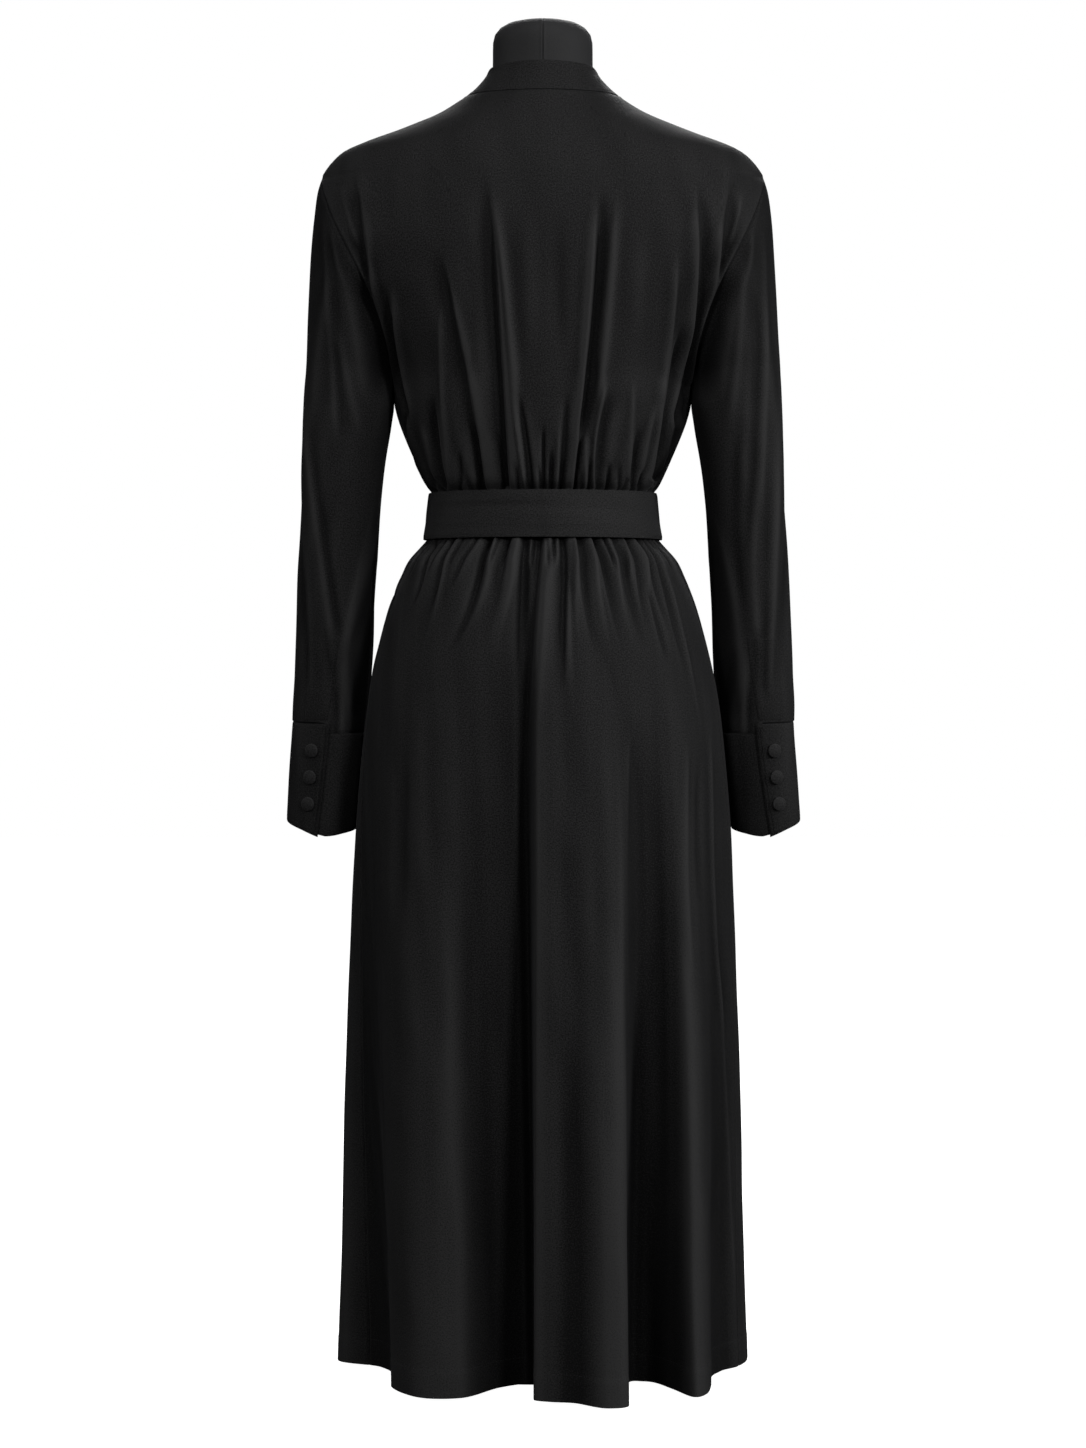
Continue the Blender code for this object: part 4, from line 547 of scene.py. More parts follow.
SKIRT_CREASES = laid(
    (430, 660, 85, 85, 86, 1.3, 13, 13, 90, 60), (430, 670, -85, -85, -86, 1.5, 13, 13, 90, 60),
    (603, 790, -5.9, -3.4, -0.7, -8, 5.5, 2.4, 152), (588, 790, -1.6, 0.4, 2.6, 2.2, 2.4, 6, 171),
    (691, 790, -43.8, -43, -46.2, 2.4, 1.7, 4, 95), (714, 790, -45.4, -45.6, -49.4, -7, 5.1, 2.2, 95),
    (738, 790, -37.4, -35, -32.4, -4, 2.4, 2.4, 28), (686, 790, -31.8, -26.6, -27.5, -9, 2.4, 5.1, 95),
    (692, 790, -28, -22.6, -24, 2.4, 2.1, 5, 95), (692, 790, -20.2, -17, -17.1, -4.6, 7.5, 4, 95),
    (750, 790, -16.4, -16.5, -16.6, -4.4, 1.8, 1.8, 22, 3), (686, 790, -15.9, -12.6, -11.4, 2.6, 3, 1.4, 95),
    (657, 790, -9.4, -9.2, -8.5, -6.6, 2.4, 6.8, 95), (752, 790, -5, -4.4, -3.8, -4, 1.8, 1.8, 20, 3),
    (754, 790, 2.4, 2.2, 2, -3.6, 1.8, 1.8, 20, 3), (754, 790, 4.2, 5, 5.6, -3.6, 1.8, 1.8, 20, 3),
    (740, 790, 0.2, 2.8, 5.8, -2.6, 3, 3, 30), (750, 790, 6, 6.6, 7.4, 2, 2, 2, 24),
    (645, 790, 6.4, 7.8, 10.2, -7, 7.2, 2.2, 95), (686, 790, 12.2, 12.6, 16.2, 2.6, 1.5, 3, 95),
    (686, 790, 17, 15.6, 17.6, -6.5, 2, 6, 95), (686, 790, 22.6, 21.6, 24.4, 2.4, 3, 1.7, 95),
    (686, 790, 27.4, 25.6, 25.7, -7, 2.2, 6, 95), (750, 790, 30.4, 30.8, 31.3, -4, 1.8, 1.8, 22, 3),
    (686, 790, 32.4, 31, 34, 2.2, 3, 2.4, 95), (690, 790, 35.6, 34.4, 37, -4.6, 2.4, 6, 95),
    (735, 790, 36.6, 38.6, 44.8, 2, 2.4, 2.4, 30), (702, 790, 39, 41, 46.6, -5.6, 2.4, 5.1, 95),
    (691, 790, 43.4, 45.2, 53.6, 2.2, 3.4, 2.4, 95), (702, 790, 50, 49.2, 56, -5.6, 2.4, 6.6, 95),
    (721, 790, -56.4, -57.4, -67, -4.5, 3, 2.6, 30), (627, 790, 9.6, 8.8, 10.3, 1.6, 4, 2.4, 95, 40),
    (670, 740, 46.6, 44.7, 44.4, -2.8, 2.6, 4, 35, 30), (602, 790, 61.6, 58, 62.8, 1.5, 4, 2.4, 95),
    (662, 790, 54.9, 54.9, 61, -4, 2.6, 6, 95), (748, 790, -59, -59.6, -60.4, -4, 2, 2, 24, 3),
    (748, 790, -70, -70.6, -71.6, -4, 2, 2, 24, 3), (750, 790, -53, -53.6, -54.6, -3.4, 2, 2, 22, 3),
    (752, 790, -22, -21.6, -21.4, -3.6, 1.8, 1.8, 20, 3),
    (754, 790, -41, -41.4, -41.8, -3.4, 1.8, 1.8, 20, 3), (754, 790, 50.4, 51, 51.8, -3.4, 1.8, 1.8, 20, 3),
    (752, 790, 68, 69, 70.4, -3.6, 2, 2, 20, 3), (377, 591, 48.7, 47.5, 51.6, 1.5, 5, 3, 60, 50),
    (314, 595, 71.4, 64, 67.4, 1.5, 4, 3, 60, 50), (439, 577, 54, 53.9, 57.5, -1.7, 6, 6, 60, 60),
    (67, 389, 77.7, 73, 66.7, 0.9, 3, 2.4, 60, 60), (361, 595, 26.1, 25.5, 27.7, 1.8, 7, 2.2, 90, 40),
    (404, 578, -48.7, -48.2, -48.4, -1.7, 9, 7, 70, 60), (451, 633, -40.2, -41.3, -43.5, 1.1, 9, 8, 70, 60),
    (271, 451, -28.4, -27.1, -25.5, -1.8, 12, 9, 90, 90),
    (146, 361, -36.6, -35.1, -33.2, 1.4, 10, 10, 90, 90), (274, 453, 8.8, 8.3, 8.1, 1, 10, 10, 90, 90),
    (293, 489, 16.6, 16.5, 16.7, -1.7, 10, 10, 90, 90),
)

SKIRT_FRONT_CREASES = laid(
    (640, 790, 148, 166, 190, 2.2, 5, 3, 60), (655, 790, 152, 169, 192, -4.2, 3, 6, 60),
    (690, 790, 132, 154, 182, 1.8, 4, 3, 50), (700, 790, 136, 158, 185, -3.6, 2.6, 5, 50),
    (720, 790, 116, 134, 160, -3, 2.6, 4, 40), (600, 790, 172, 182, 198, 2, 5, 3, 70),
    (620, 790, 175, 185, 200, -4.2, 3, 6, 70), (735, 790, 100, 108, 120, -2.7, 2.4, 3, 35),
    (740, 790, 90, 94, 100, -2.4, 2.4, 2.6, 35), (740, 790, 142, 150, 166, -2.7, 2.2, 2.4, 30),
    (748, 790, 124, 130, 140, -2.5, 2, 2.2, 26), (650, 790, 236, 230, 218, 1.8, 3, 4, 50),
    (660, 790, 232, 226, 214, -3.6, 5, 2.6, 50), (700, 790, 254, 246, 230, -3, 3, 3, 40),
    (715, 790, 268, 262, 250, -2.7, 2.6, 2.6, 40), (745, 790, 240, 236, 228, -2.4, 2.2, 2.2, 26),
    (300, 620, 164, 163, 162, 1.2, 10, 8, 90, 90), (260, 560, 128, 129, 130, -1.4, 9, 9, 90, 90),
    (280, 600, 108, 107, 106, 1.2, 8, 8, 90, 90), (240, 560, 226, 226, 225, 1.3, 9, 9, 90, 90),
    (280, 600, 246, 245, 244, -1.3, 8, 8, 90, 90), (200, 480, 190, 190, 190, 1.1, 9, 9, 90, 90),
)

RIGHT_SLEEVE_CREASES = laid(
    (801, 1068, 202.9, 208.3, 206.3, 1.6, 5, 3, 40, 40), (764, 1044, 190.6, 199.4, 200.4, -1.8, 6, 5, 60, 40),
    (885, 1041, 174.2, 182.9, 187.7, 1.8, 4, 5, 40, 30),
    (1015, 1069, 186.7, 192.5, 195.1, 1.4, 2.4, 3, 25, 20),
    (707, 894, 189.2, 180.1, 184.5, -1.6, 6, 5, 40, 50), (679, 848, 201.9, 196.3, 200.7, 1.5, 5, 4, 30, 50),
    (632, 848, 210.7, 216.8, 219.3, 1.4, 4, 3.4, 30, 50), (627, 820, 207.8, 208.3, 211.5, -1.4, 5, 4, 20, 50),
    (598, 641, 186.6, 185.4, 185.3, -1.5, 3, 3, 3, 26), (598, 646, 177.5, 177.4, 178, -1.5, 3, 3, 3, 26),
    (598, 641, 195.8, 194.6, 193.7, -1.2, 2.6, 2.6, 3, 26),
)
LEFT_SLEEVE_CREASES = laid(
    (866, 1087, -193.1, -198.8, -205.5, 1.5, 3, 5, 40, 40),
    (876, 1062, -189.1, -193.8, -199.3, -1.6, 5, 6, 40, 40),
    (876, 986, -169.8, -183.2, -194.5, 1.5, 4, 5, 40, 30),
    (1015, 1073, -183.9, -192.1, -197.1, 1.3, 3, 2.4, 25, 20),
    (658, 893, -196.8, -209.5, -224.7, 1.6, 3, 4.6, 18, 50),
    (688, 877, -191.1, -206.2, -218.9, -1.8, 3, 5, 25, 50),
    (670, 800, -188.2, -172.8, -155, 1.9, 5, 3, 30, 40),
    (688, 792, -176.4, -163.5, -150.1, -1.8, 4, 7, 40, 40),
    (632, 821, -217.5, -221.3, -227.1, 1.2, 3, 4, 30, 50),
    (598, 641, -186.6, -186.4, -187.1, -1.5, 3, 3, 3, 26),
    (598, 643, -178.5, -178.3, -179, -1.5, 3, 3, 3, 26),
    (598, 641, -195.8, -194.7, -194.6, -1.2, 2.6, 2.6, 3, 26),
)
# The lower sleeves sink away on the body's side, where they hang against the hips.
SLEEVE_HOLLOWS = (
    Hollow(590, 840, 188.0, 181.0, 150.0, 20.0, 17.0, 8, 60),
    Hollow(925, 1030, 170.0, 178.0, 190.0, 12.0, 22.0, 40, 40),
)
# Creases on a sleeve's front half, which the arm's bend draws towards the elbow.
SLEEVE_FRONT_CREASES = laid(
    (760, 860, 158, 180, 214, 1.8, 4, 6, 30, 30), (750, 850, 164, 188, 220, -2, 6, 4, 30, 30),
    (720, 800, 168, 188, 212, 1.4, 4, 6, 30, 30), (880, 1040, 168, 184, 196, 1.6, 5, 5, 40, 40),
    (900, 1060, 176, 192, 204, -1.6, 5, 5, 40, 40), (630, 760, 196, 200, 206, 1.3, 4, 4, 30, 50),
    (598, 650, 186, 187, 188, -1.5, 3, 3, 3, 26), (598, 645, 200, 200, 200, -1.4, 3, 3, 3, 26),
    (598, 640, 214, 213, 212, -1.3, 2.6, 2.6, 3, 26),
)


# ---- cloth as meshes ----
class Hold(Enum):
    """How a piece of cloth is held."""

    HUNG = "hung"
    GATHERED = "gathered"
    STRETCHED = "stretched"
    FOLDED = "folded"


@dataclass
class Cloth:
    """One piece of cloth: a grid of outer points, rows upwards and columns to the right.

    The inner side has half the grid's columns and rows, so both counts are odd. Rows under
    closed_below are rings, whose last column is their first.
    """

    name: str
    points: Array
    thickness: float = CREPE_SHELL
    closed_below: int = 0
    normals: Array | None = None
    # Painted light: a lift of the whole piece's colour, added to its painted shading.
    shine: float = 0.0

    def __post_init__(self) -> None:
        """Finds the outward directions where none were given."""
        if self.normals is None:
            self.normals = self.outward()

    def moved(self, out: Array, direction: Array) -> Cloth:
        """The piece, with its points moved and its outward directions found anew."""
        self.points = self.points + out[..., None] * direction
        self.normals = self.outward()
        return self

    def outward(self) -> Array:
        """Unit normals of the grid, from its own neighbours."""
        p = self.points
        along, up = np.gradient(p, axis=1), np.gradient(p, axis=0)
        k = self.closed_below
        along[:k, 0] = along[:k, -1] = 0.5 * (p[:k, 1] - p[:k, -2])
        return unit(np.cross(along, up))

    def calm_normals(self) -> Array:
        """The normals, evened out over their neighbours, for the inner side."""
        n = self.normals.copy()
        k = self.closed_below
        for _ in range(3):
            n[:, 1:-1] = 0.25 * n[:, :-2] + 0.5 * n[:, 1:-1] + 0.25 * n[:, 2:]
            n[1:-1] = 0.25 * n[:-2] + 0.5 * n[1:-1] + 0.25 * n[2:]
            n[:k, 0] = n[:k, -1] = 0.5 * (n[:k, 0] + n[:k, -1])
        return unit(n)

    def numbers(self, rows: int, cols: int, closed: int) -> tuple[Array, Array]:
        """Vertex numbers of a grid whose rows under closed are rings, and which points are used."""
        used = np.ones((rows, cols), bool)
        used[:closed, -1] = False
        ids = np.cumsum(used.ravel()).reshape(rows, cols) - 1
        ids[:closed, -1] = ids[:closed, 0]
        return ids, used

    def lines(self, lift: float, *picks: tuple) -> list[Array]:
        """Lines along picked rows and columns, lifted off the cloth."""
        return [(self.points + lift * self.normals)[pick] for pick in picks]

    def row_at(self, height: float) -> int:
        """The row whose first point lies nearest to a height."""
        return int(np.argmin(np.abs(self.points[:, 0, 2] - height)))

    def lengths(self) -> tuple[Array, Array]:
        """Lengths of the steps across and up."""
        return tuple(norm(np.diff(self.points, axis=axis)) for axis in (1, 0))

    def size(self) -> tuple[float, float, float]:
        """Greatest width across, greatest length up and area, in metres."""
        across, up = self.lengths()
        cell = 0.5 * (across[:-1] + across[1:]) * 0.5 * (up[:, :-1] + up[:, 1:])
        skew = np.cross(np.diff(self.points, axis=1)[:-1], np.diff(self.points, axis=0)[:, :-1])
        area = min(norm(skew).sum(), cell.sum())
        return across.sum(1).max() * MM, up.sum(0).max() * MM, area * MM * MM

    def build(self, material: Material) -> Piece:
        """Makes the closed mesh of the piece.

        Args:
            material: Finish of the whole piece.

        Returns:
            The new object, at the origin.
        """
        rows, cols = self.points.shape[:2]
        ids, used = self.numbers(rows, cols, self.closed_below)
        inner_grid = (self.points - self.thickness * self.calm_normals())[::2, ::2]
        inner_ids, inner_used = self.numbers(*inner_grid.shape[:2], (self.closed_below + 1) // 2)
        outer = self.points[used]
        inner_ids = inner_ids + len(outer)
        faces = [quads(ids), quads(inner_ids)[:, ::-1]]
        first = max(self.closed_below - 1, 0)
        for line, inside in (
            (ids[0], inner_ids[0]),
            (ids[-1][::-1], inner_ids[-1][::-1]),
            (ids[first:, 0][::-1], inner_ids[first // 2 :, 0][::-1]),
            (ids[first:, -1], inner_ids[first // 2 :, -1]),
        ):
            if len(line) > 2:
                faces.append(rim(line, inside))
        points = np.vstack([outer, inner_grid[inner_used]]) * MM
        made = mesh_object(self.name, points, faces, material)
        # The painted shading of troughs and crests goes with the mesh, for the cloth's colour.
        flat, fold = (
            np.concatenate([grid[used], grid[::2, ::2][inner_used]])
            for grid in (self.flat_map(), self.bulge())
        )
        write_cloth_data(made.data, flat, fold)
        return made

    def flat_map(self) -> Array:
        """Places in metres on the cloth laid flat."""
        across, up = self.lengths()
        u = np.pad(np.cumsum(across, axis=1), ((0, 0), (1, 0))) * MM
        v = np.pad(np.cumsum(up, axis=0), ((1, 0), (0, 0))) * MM
        return np.stack([u - u[:, u.shape[1] // 2, None], v], axis=-1)

    def bulge(self) -> Array:
        """How far each point stands out from the cloth around it, in mm, folds below 0, plus the piece's
        painted light; it is the painted shading of the colour: painted shade in troughs, painted highlight on
        crests.
        """
        total = np.zeros(self.points.shape[:2])
        step = np.median(norm(np.diff(self.points, axis=1)))
        for reach, weight in BULGE_REACH:
            count = max(1, min(round(reach / step), self.points.shape[1] // 8))
            weights = np.exp(-0.5 * (np.arange(-3 * count, 3 * count + 1) / count) ** 2)
            ends = ((0, 0), (3 * count, 3 * count), (0, 0))
            wide = np.pad(self.points, ends, mode="reflect", reflect_type="odd")
            around = np.zeros_like(self.points)
            for shift, part in enumerate(weights / weights.sum()):
                around += part * wide[:, shift : shift + self.points.shape[1]]
            out = ((self.points - around) * self.normals).sum(-1)
            total += weight * (out - np.median(out))
        return np.clip(total, -BULGE_LIMIT, BULGE_LIMIT) + self.shine


def quads(ids: Array) -> Array:
    """Quads between neighbouring rows of vertex numbers."""
    grid = np.stack([ids[:-1, :-1], ids[:-1, 1:], ids[1:, 1:], ids[1:, :-1]], axis=-1)
    return grid.reshape(-1, 4)


def rim(line: Array, inside: Array) -> Array:
    """Triangles that join a fine edge to an edge with half its points, on their right side."""
    a, b, c = line[:-1:2], line[1::2], line[2::2]
    p, q = inside[:-1], inside[1:]
    triangles = [np.stack([b, a, p], -1), np.stack([b, p, q], -1), np.stack([c, b, q], -1)]
    return np.concatenate(triangles)


def mesh_object(
    name: str, points: Array, faces: Sequence[Array], material: Material, sharp: float = 62.0
) -> Piece:
    """A mesh object at the origin.

    Args:
        name: The object's name.
        points: Its points in metres.
        faces: Arrays of faces, each with its own number of corners.
        material: Its only material.
        sharp: Angle in degrees from which an edge is drawn sharp.

    Returns:
        The object, linked to the scene.
    """
    mesh = bpy.data.meshes.new(name)
    mesh.from_pydata(points.tolist(), [], [row for block in faces for row in block.tolist()])
    mesh.validate()
    mesh.shade_smooth()
    mesh.set_sharp_from_angle(angle=math.radians(sharp))
    mesh.materials.append(material)
    return linked(name, mesh)


def write_cloth_data(mesh: bpy.types.Mesh, flat: Array, fold: Array) -> None:
    """Adds the flat map and the painted shading, the folds' height that paints troughs darker and crests
    lighter in the colour, to a mesh.
    """
    corners = np.zeros(len(mesh.loops), np.int32)
    mesh.loops.foreach_get("vertex_index", corners)
    layer = mesh.uv_layers.new(name="cloth")
    layer.data.foreach_set("uv", flat[corners].astype(np.float32).ravel())
    height = mesh.attributes.new("fold", "FLOAT", "POINT")
    height.data.foreach_set("value", fold.astype(np.float32))


def closed_rings(
    name: str, rings: Array, ends: Array, material: Material, fold: Array | None = None
) -> Piece:
    """A closed piece from rings of points and the two points that close it.

    Args:
        name: The object's name.
        rings: Points in mm, one row for each ring.
        ends: The point before the first ring and the one after the last.
        material: Its finish.
        fold: Painted shading at each point, where the piece is of cloth: painted shade that darkens and
            painted highlight that lightens its colour.

    Returns:
        The object, its faces outwards.
    """
    rows, sides = rings.shape[:2]
    ids = np.arange(rows * sides).reshape(rows, sides)
    ids = np.hstack([ids, ids[:, :1]])
    first = np.stack([ids[0, 1:], ids[0, :-1], np.full(sides, rows * sides)], -1)
    last = np.stack([ids[-1, :-1], ids[-1, 1:], np.full(sides, rows * sides + 1)], -1)
    points = np.vstack([rings.reshape(-1, 3), ends]) * MM
    made = mesh_object(name, points, [quads(ids), first, last], material)
    turn_outward(made)
    if fold is not None:
        write_cloth_data(made.data, points[:, [0, 2]], fold)
    return made


def turn_outward(made: Piece) -> None:
    """Turns a closed mesh's faces outwards if they point in."""
    mesh = made.data
    mesh.calc_loop_triangles()
    co = np.array([v.co[:] for v in mesh.vertices])
    a, b, c = (co - co.mean(0))[np.array([t.vertices[:] for t in mesh.loop_triangles]).T]
    if np.einsum("ij,ij->i", a, np.cross(b, c)).sum() < 0:
        mesh.flip_normals()


def linked(name: str, data: bpy.types.ID) -> Piece:
    """A new object in the scene."""
    made = bpy.data.objects.new(name, data)
    bpy.context.scene.collection.objects.link(made)
    return made


# ---- finishes ----
def math_node(kind: str, reflected: bool = False) -> Callable[[Value, object], Value]:
    """An operator that adds a Math node of this kind."""

    def apply(self: Value, other: object) -> Value:
        """The node's result."""
        pair = [other, self] if reflected else [self, other]
        return self.nodes.node("ShaderNodeMath", {"operation": kind}, pair)

    return apply


class Value:
    """A number or a socket in a node tree, which takes part in Python expressions."""

    def __init__(self, nodes: Nodes, socket: object) -> None:
        """Keeps the tree and the socket."""
        self.nodes = nodes
        self.socket = socket

    __add__ = __radd__ = math_node("ADD")
    __mul__ = __rmul__ = math_node("MULTIPLY")
    __sub__, __rsub__ = math_node("SUBTRACT"), math_node("SUBTRACT", True)
    at_least, at_most = math_node("MAXIMUM"), math_node("MINIMUM")

    def clip(self, low: float = 0.0, high: float = 1.0) -> Value:
        """The value held between two limits."""
        return self.at_least(low).at_most(high)


class Nodes:
    """A node tree that grows by one method."""

    def __init__(self, tree: bpy.types.NodeTree) -> None:
        """Keeps the tree."""
        self.tree = tree

    def node(
        self, kind: str, settings: dict | None = None, inputs: Sequence | dict = (), out: int | str = 0
    ) -> Value:
        """Adds a node.

        Args:
            kind: The node's type.
            settings: Its properties, set before its sockets.
            inputs: Values or links, by position or by socket name.
            out: Which output is wanted.

        Returns:
            That output.
        """
        made = self.tree.nodes.new(kind)
        for key, value in (settings or {}).items():
            setattr(made, key, value)
        pairs = inputs.items() if isinstance(inputs, dict) else enumerate(inputs)
        for key, value in pairs:
            self.feed(made.inputs[key], value)
        return Value(self, made.outputs[out])

    def feed(self, socket: bpy.types.NodeSocket, value: object) -> None:
        """Links or sets one input."""
        value = value.socket if isinstance(value, Value) else value
        if isinstance(value, bpy.types.NodeSocket):
            self.tree.links.new(value, socket)
        else:
            socket.default_value = value


class Shader(Nodes):
    """A material's node tree with its Principled shader."""

    def __init__(self, name: str) -> None:
        """Makes the material."""
        self.material = bpy.data.materials.new(name)
        self.material.use_nodes = True
        super().__init__(self.material.node_tree)
        self.principled = self.tree.nodes["Principled BSDF"]

    def set(self, **inputs: object) -> None:
        """Sets or links the Principled shader's inputs, with _ for each space in their names."""
        for key, value in inputs.items():
            self.feed(self.principled.inputs[key.replace("_", " ")], value)

    def where(self) -> Value:
        """Places on the piece, in metres."""
        return self.node("ShaderNodeTexCoord", {}, (), "Object")

    def stretched(self, where: Value, share: tuple) -> Value:
        """Places multiplied along each axis."""
        return self.node("ShaderNodeVectorMath", {"operation": "MULTIPLY"}, [where, share])

    def noise(self, where: Value, scale: float, detail: float = 2.0, roughness: float = 0.5) -> Value:
        """Noise from 0 to 1."""
        sockets = {"Vector": where, "Scale": scale, "Detail": detail, "Roughness": roughness}
        return self.node("ShaderNodeTexNoise", {"noise_dimensions": "3D"}, sockets, "Fac")

    def mix(self, factor: Value, low: tuple, high: tuple) -> Value:
        """A colour between two colours."""
        sockets = {0: factor, 6: (*low, 1.0), 7: (*high, 1.0)}
        return self.node("ShaderNodeMix", {"data_type": "RGBA"}, sockets, 2)

    def bump(self, height: Value, distance: float, strength: float = 1.0, onto: Value | None = None) -> Value:
        """A normal from a height in units of distance."""
        sockets = {"Height": height, "Distance": distance, "Strength": strength}
        if onto is not None:
            sockets["Normal"] = onto
        return self.node("ShaderNodeBump", {}, sockets, "Normal")


@dataclass(frozen=True)
class CrepeFinish:
    """Black crepe: a matt, finely pebbled weave with a little sheen; its colour carries painted shade in the
    troughs of folds and creases and painted highlight on their crests.
    """

    name: str = "dress_crepe"
    # deep is reached by the painted shade of the deepest troughs and light by the painted highlight of
    # crests, besides the weave's random tone.
    deep: tuple = (0.0022, 0.0022, 0.0024)
    light: tuple = (0.027, 0.0268, 0.0272)
    roughness: float = 0.72
    sheen: float = 0.03

    def material(self) -> Material:
        """Builds the material."""
        shader = Shader(self.name)
        cloth = shader.node("ShaderNodeUVMap", {"uv_map": "cloth"})
        fold = shader.node("ShaderNodeAttribute", {"attribute_name": "fold"}, (), "Fac")
        pebble = shader.noise(cloth, 760.0, 3.0, 0.62)
        wide, long = shader.stretched(cloth, (1.0, 0.35, 1.0)), shader.stretched(cloth, (0.35, 1.0, 1.0))
        thread = shader.noise(wide, 2300.0, 1.0) + shader.noise(long, 2300.0, 1.0)
        cloudy = shader.noise(cloth, 9.0, 3.0, 0.55)
        streak = shader.noise(shader.stretched(cloth, (26.0, 3.2, 1.0)), 1.0, 2.0, 0.6)
        # Painted shading: the colour is painted darker towards deep in the troughs of folds and creases and
        # lighter on their crests, where shade and light would fall.
        painted_shading_tone = (fold * 0.34 + 0.34).clip(0.08)
        tone = (painted_shading_tone + (cloudy - 0.5) * 0.3 + (streak - 0.5) * 0.24 + (pebble - 0.5) * 2.6).clip()
        shader.set(Base_Color=shader.mix(tone, self.deep, self.light))
        rough = self.roughness + (cloudy - 0.5) * 0.12
        shader.set(Roughness=(rough + (pebble - 0.5) * 0.16).clip(0.35, 0.85))
        fine = shader.bump(thread, 0.00006, 0.35)
        shader.set(Normal=shader.bump(pebble, 0.00035, 0.4, fine))
        shader.set(Sheen_Weight=self.sheen, Sheen_Roughness=0.42, Sheen_Tint=(0.75, 0.76, 0.8, 1.0))
        shader.set(Specular_IOR_Level=0.12)
        return shader.material


@dataclass(frozen=True)
class ThreadFinish:
    """Sewing thread, slightly glossier than the cloth."""

    name: str = "black_thread"
    colour: tuple = (0.011, 0.011, 0.0115)

    def material(self) -> Material:
        """Builds the material."""
        shader = Shader(self.name)
        where = shader.where()
        fuzz = shader.noise(where, 5200.0, 1.0)
        shader.set(Base_Color=shader.mix(fuzz, self.colour, tuple(1.5 * c for c in self.colour)))
        shader.set(Roughness=(0.5 + fuzz * 0.2).clip(), Sheen_Weight=0.04)
        shader.set(Specular_IOR_Level=0.2)
        return shader.material


@dataclass(frozen=True)
class JerseyFinish:
    """Knitted black cover of the form: fine wales with a dull bloom."""

    name: str = "form_jersey"
    deep: tuple = (0.013, 0.013, 0.0135)
    light: tuple = (0.025, 0.025, 0.0258)

    def material(self) -> Material:
        """Builds the material."""
        shader = Shader(self.name)
        where = shader.where()
        lint = shader.noise(where, 900.0, 3.0, 0.65)
        cloudy = shader.noise(where, 22.0, 2.0)
        knit = shader.noise(shader.stretched(where, (1.0, 1.0, 0.4)), 1500.0, 1.0)
        tone = (0.4 * cloudy + 0.6 * lint + (knit - 0.5) * 0.5).clip()
        shader.set(Base_Color=shader.mix(tone, self.deep, self.light))
        shader.set(Roughness=(0.68 + (lint - 0.5) * 0.18).clip(0.4, 0.9))
        shader.set(Normal=shader.bump(lint + knit, 0.00035, 0.45))
        shader.set(Sheen_Weight=0.04, Sheen_Roughness=0.5, Sheen_Tint=(0.8, 0.8, 0.85, 1.0))
        shader.set(Specular_IOR_Level=0.15)
        return shader.material


@dataclass(frozen=True)
class EnamelFinish:
    """Satin black enamel on steel, with light rubbing and fine orange peel."""

    name: str = "stand_enamel"
    deep: tuple = (0.014, 0.014, 0.015)
    worn: tuple = (0.045, 0.045, 0.047)

    def material(self) -> Material:
        """Builds the material."""
        shader = Shader(self.name)
        where = shader.where()
        rub = shader.noise(where, 34.0, 4.0, 0.6)
        peel = shader.noise(where, 620.0, 2.0)
        shader.set(Base_Color=shader.mix(((rub - 0.52) * 3.0).clip(), self.deep, self.worn))
        shader.set(Roughness=(0.3 + rub * 0.22).clip())
        shader.set(Normal=shader.bump(peel, 0.0002, 0.2), Coat_Weight=0.35, Coat_Roughness=0.2)
        return shader.material


@dataclass(frozen=True)
class PaperFinish:
    """Plain pale studio paper."""

    name: str = "studio_paper"
    colour: tuple = (0.86, 0.86, 0.86)
    glow: float = 0.0

    def material(self) -> Material:
        """Builds the material."""
        shader = Shader(self.name)
        where = shader.where()
        tooth = shader.noise(where, 60.0, 3.0)
        shader.set(Base_Color=shader.mix(tooth, self.colour, tuple(c + 0.03 for c in self.colour)))
        shader.set(Roughness=0.9, Emission_Color=(1.0, 1.0, 1.0, 1.0), Emission_Strength=self.glow)
        return shader.material


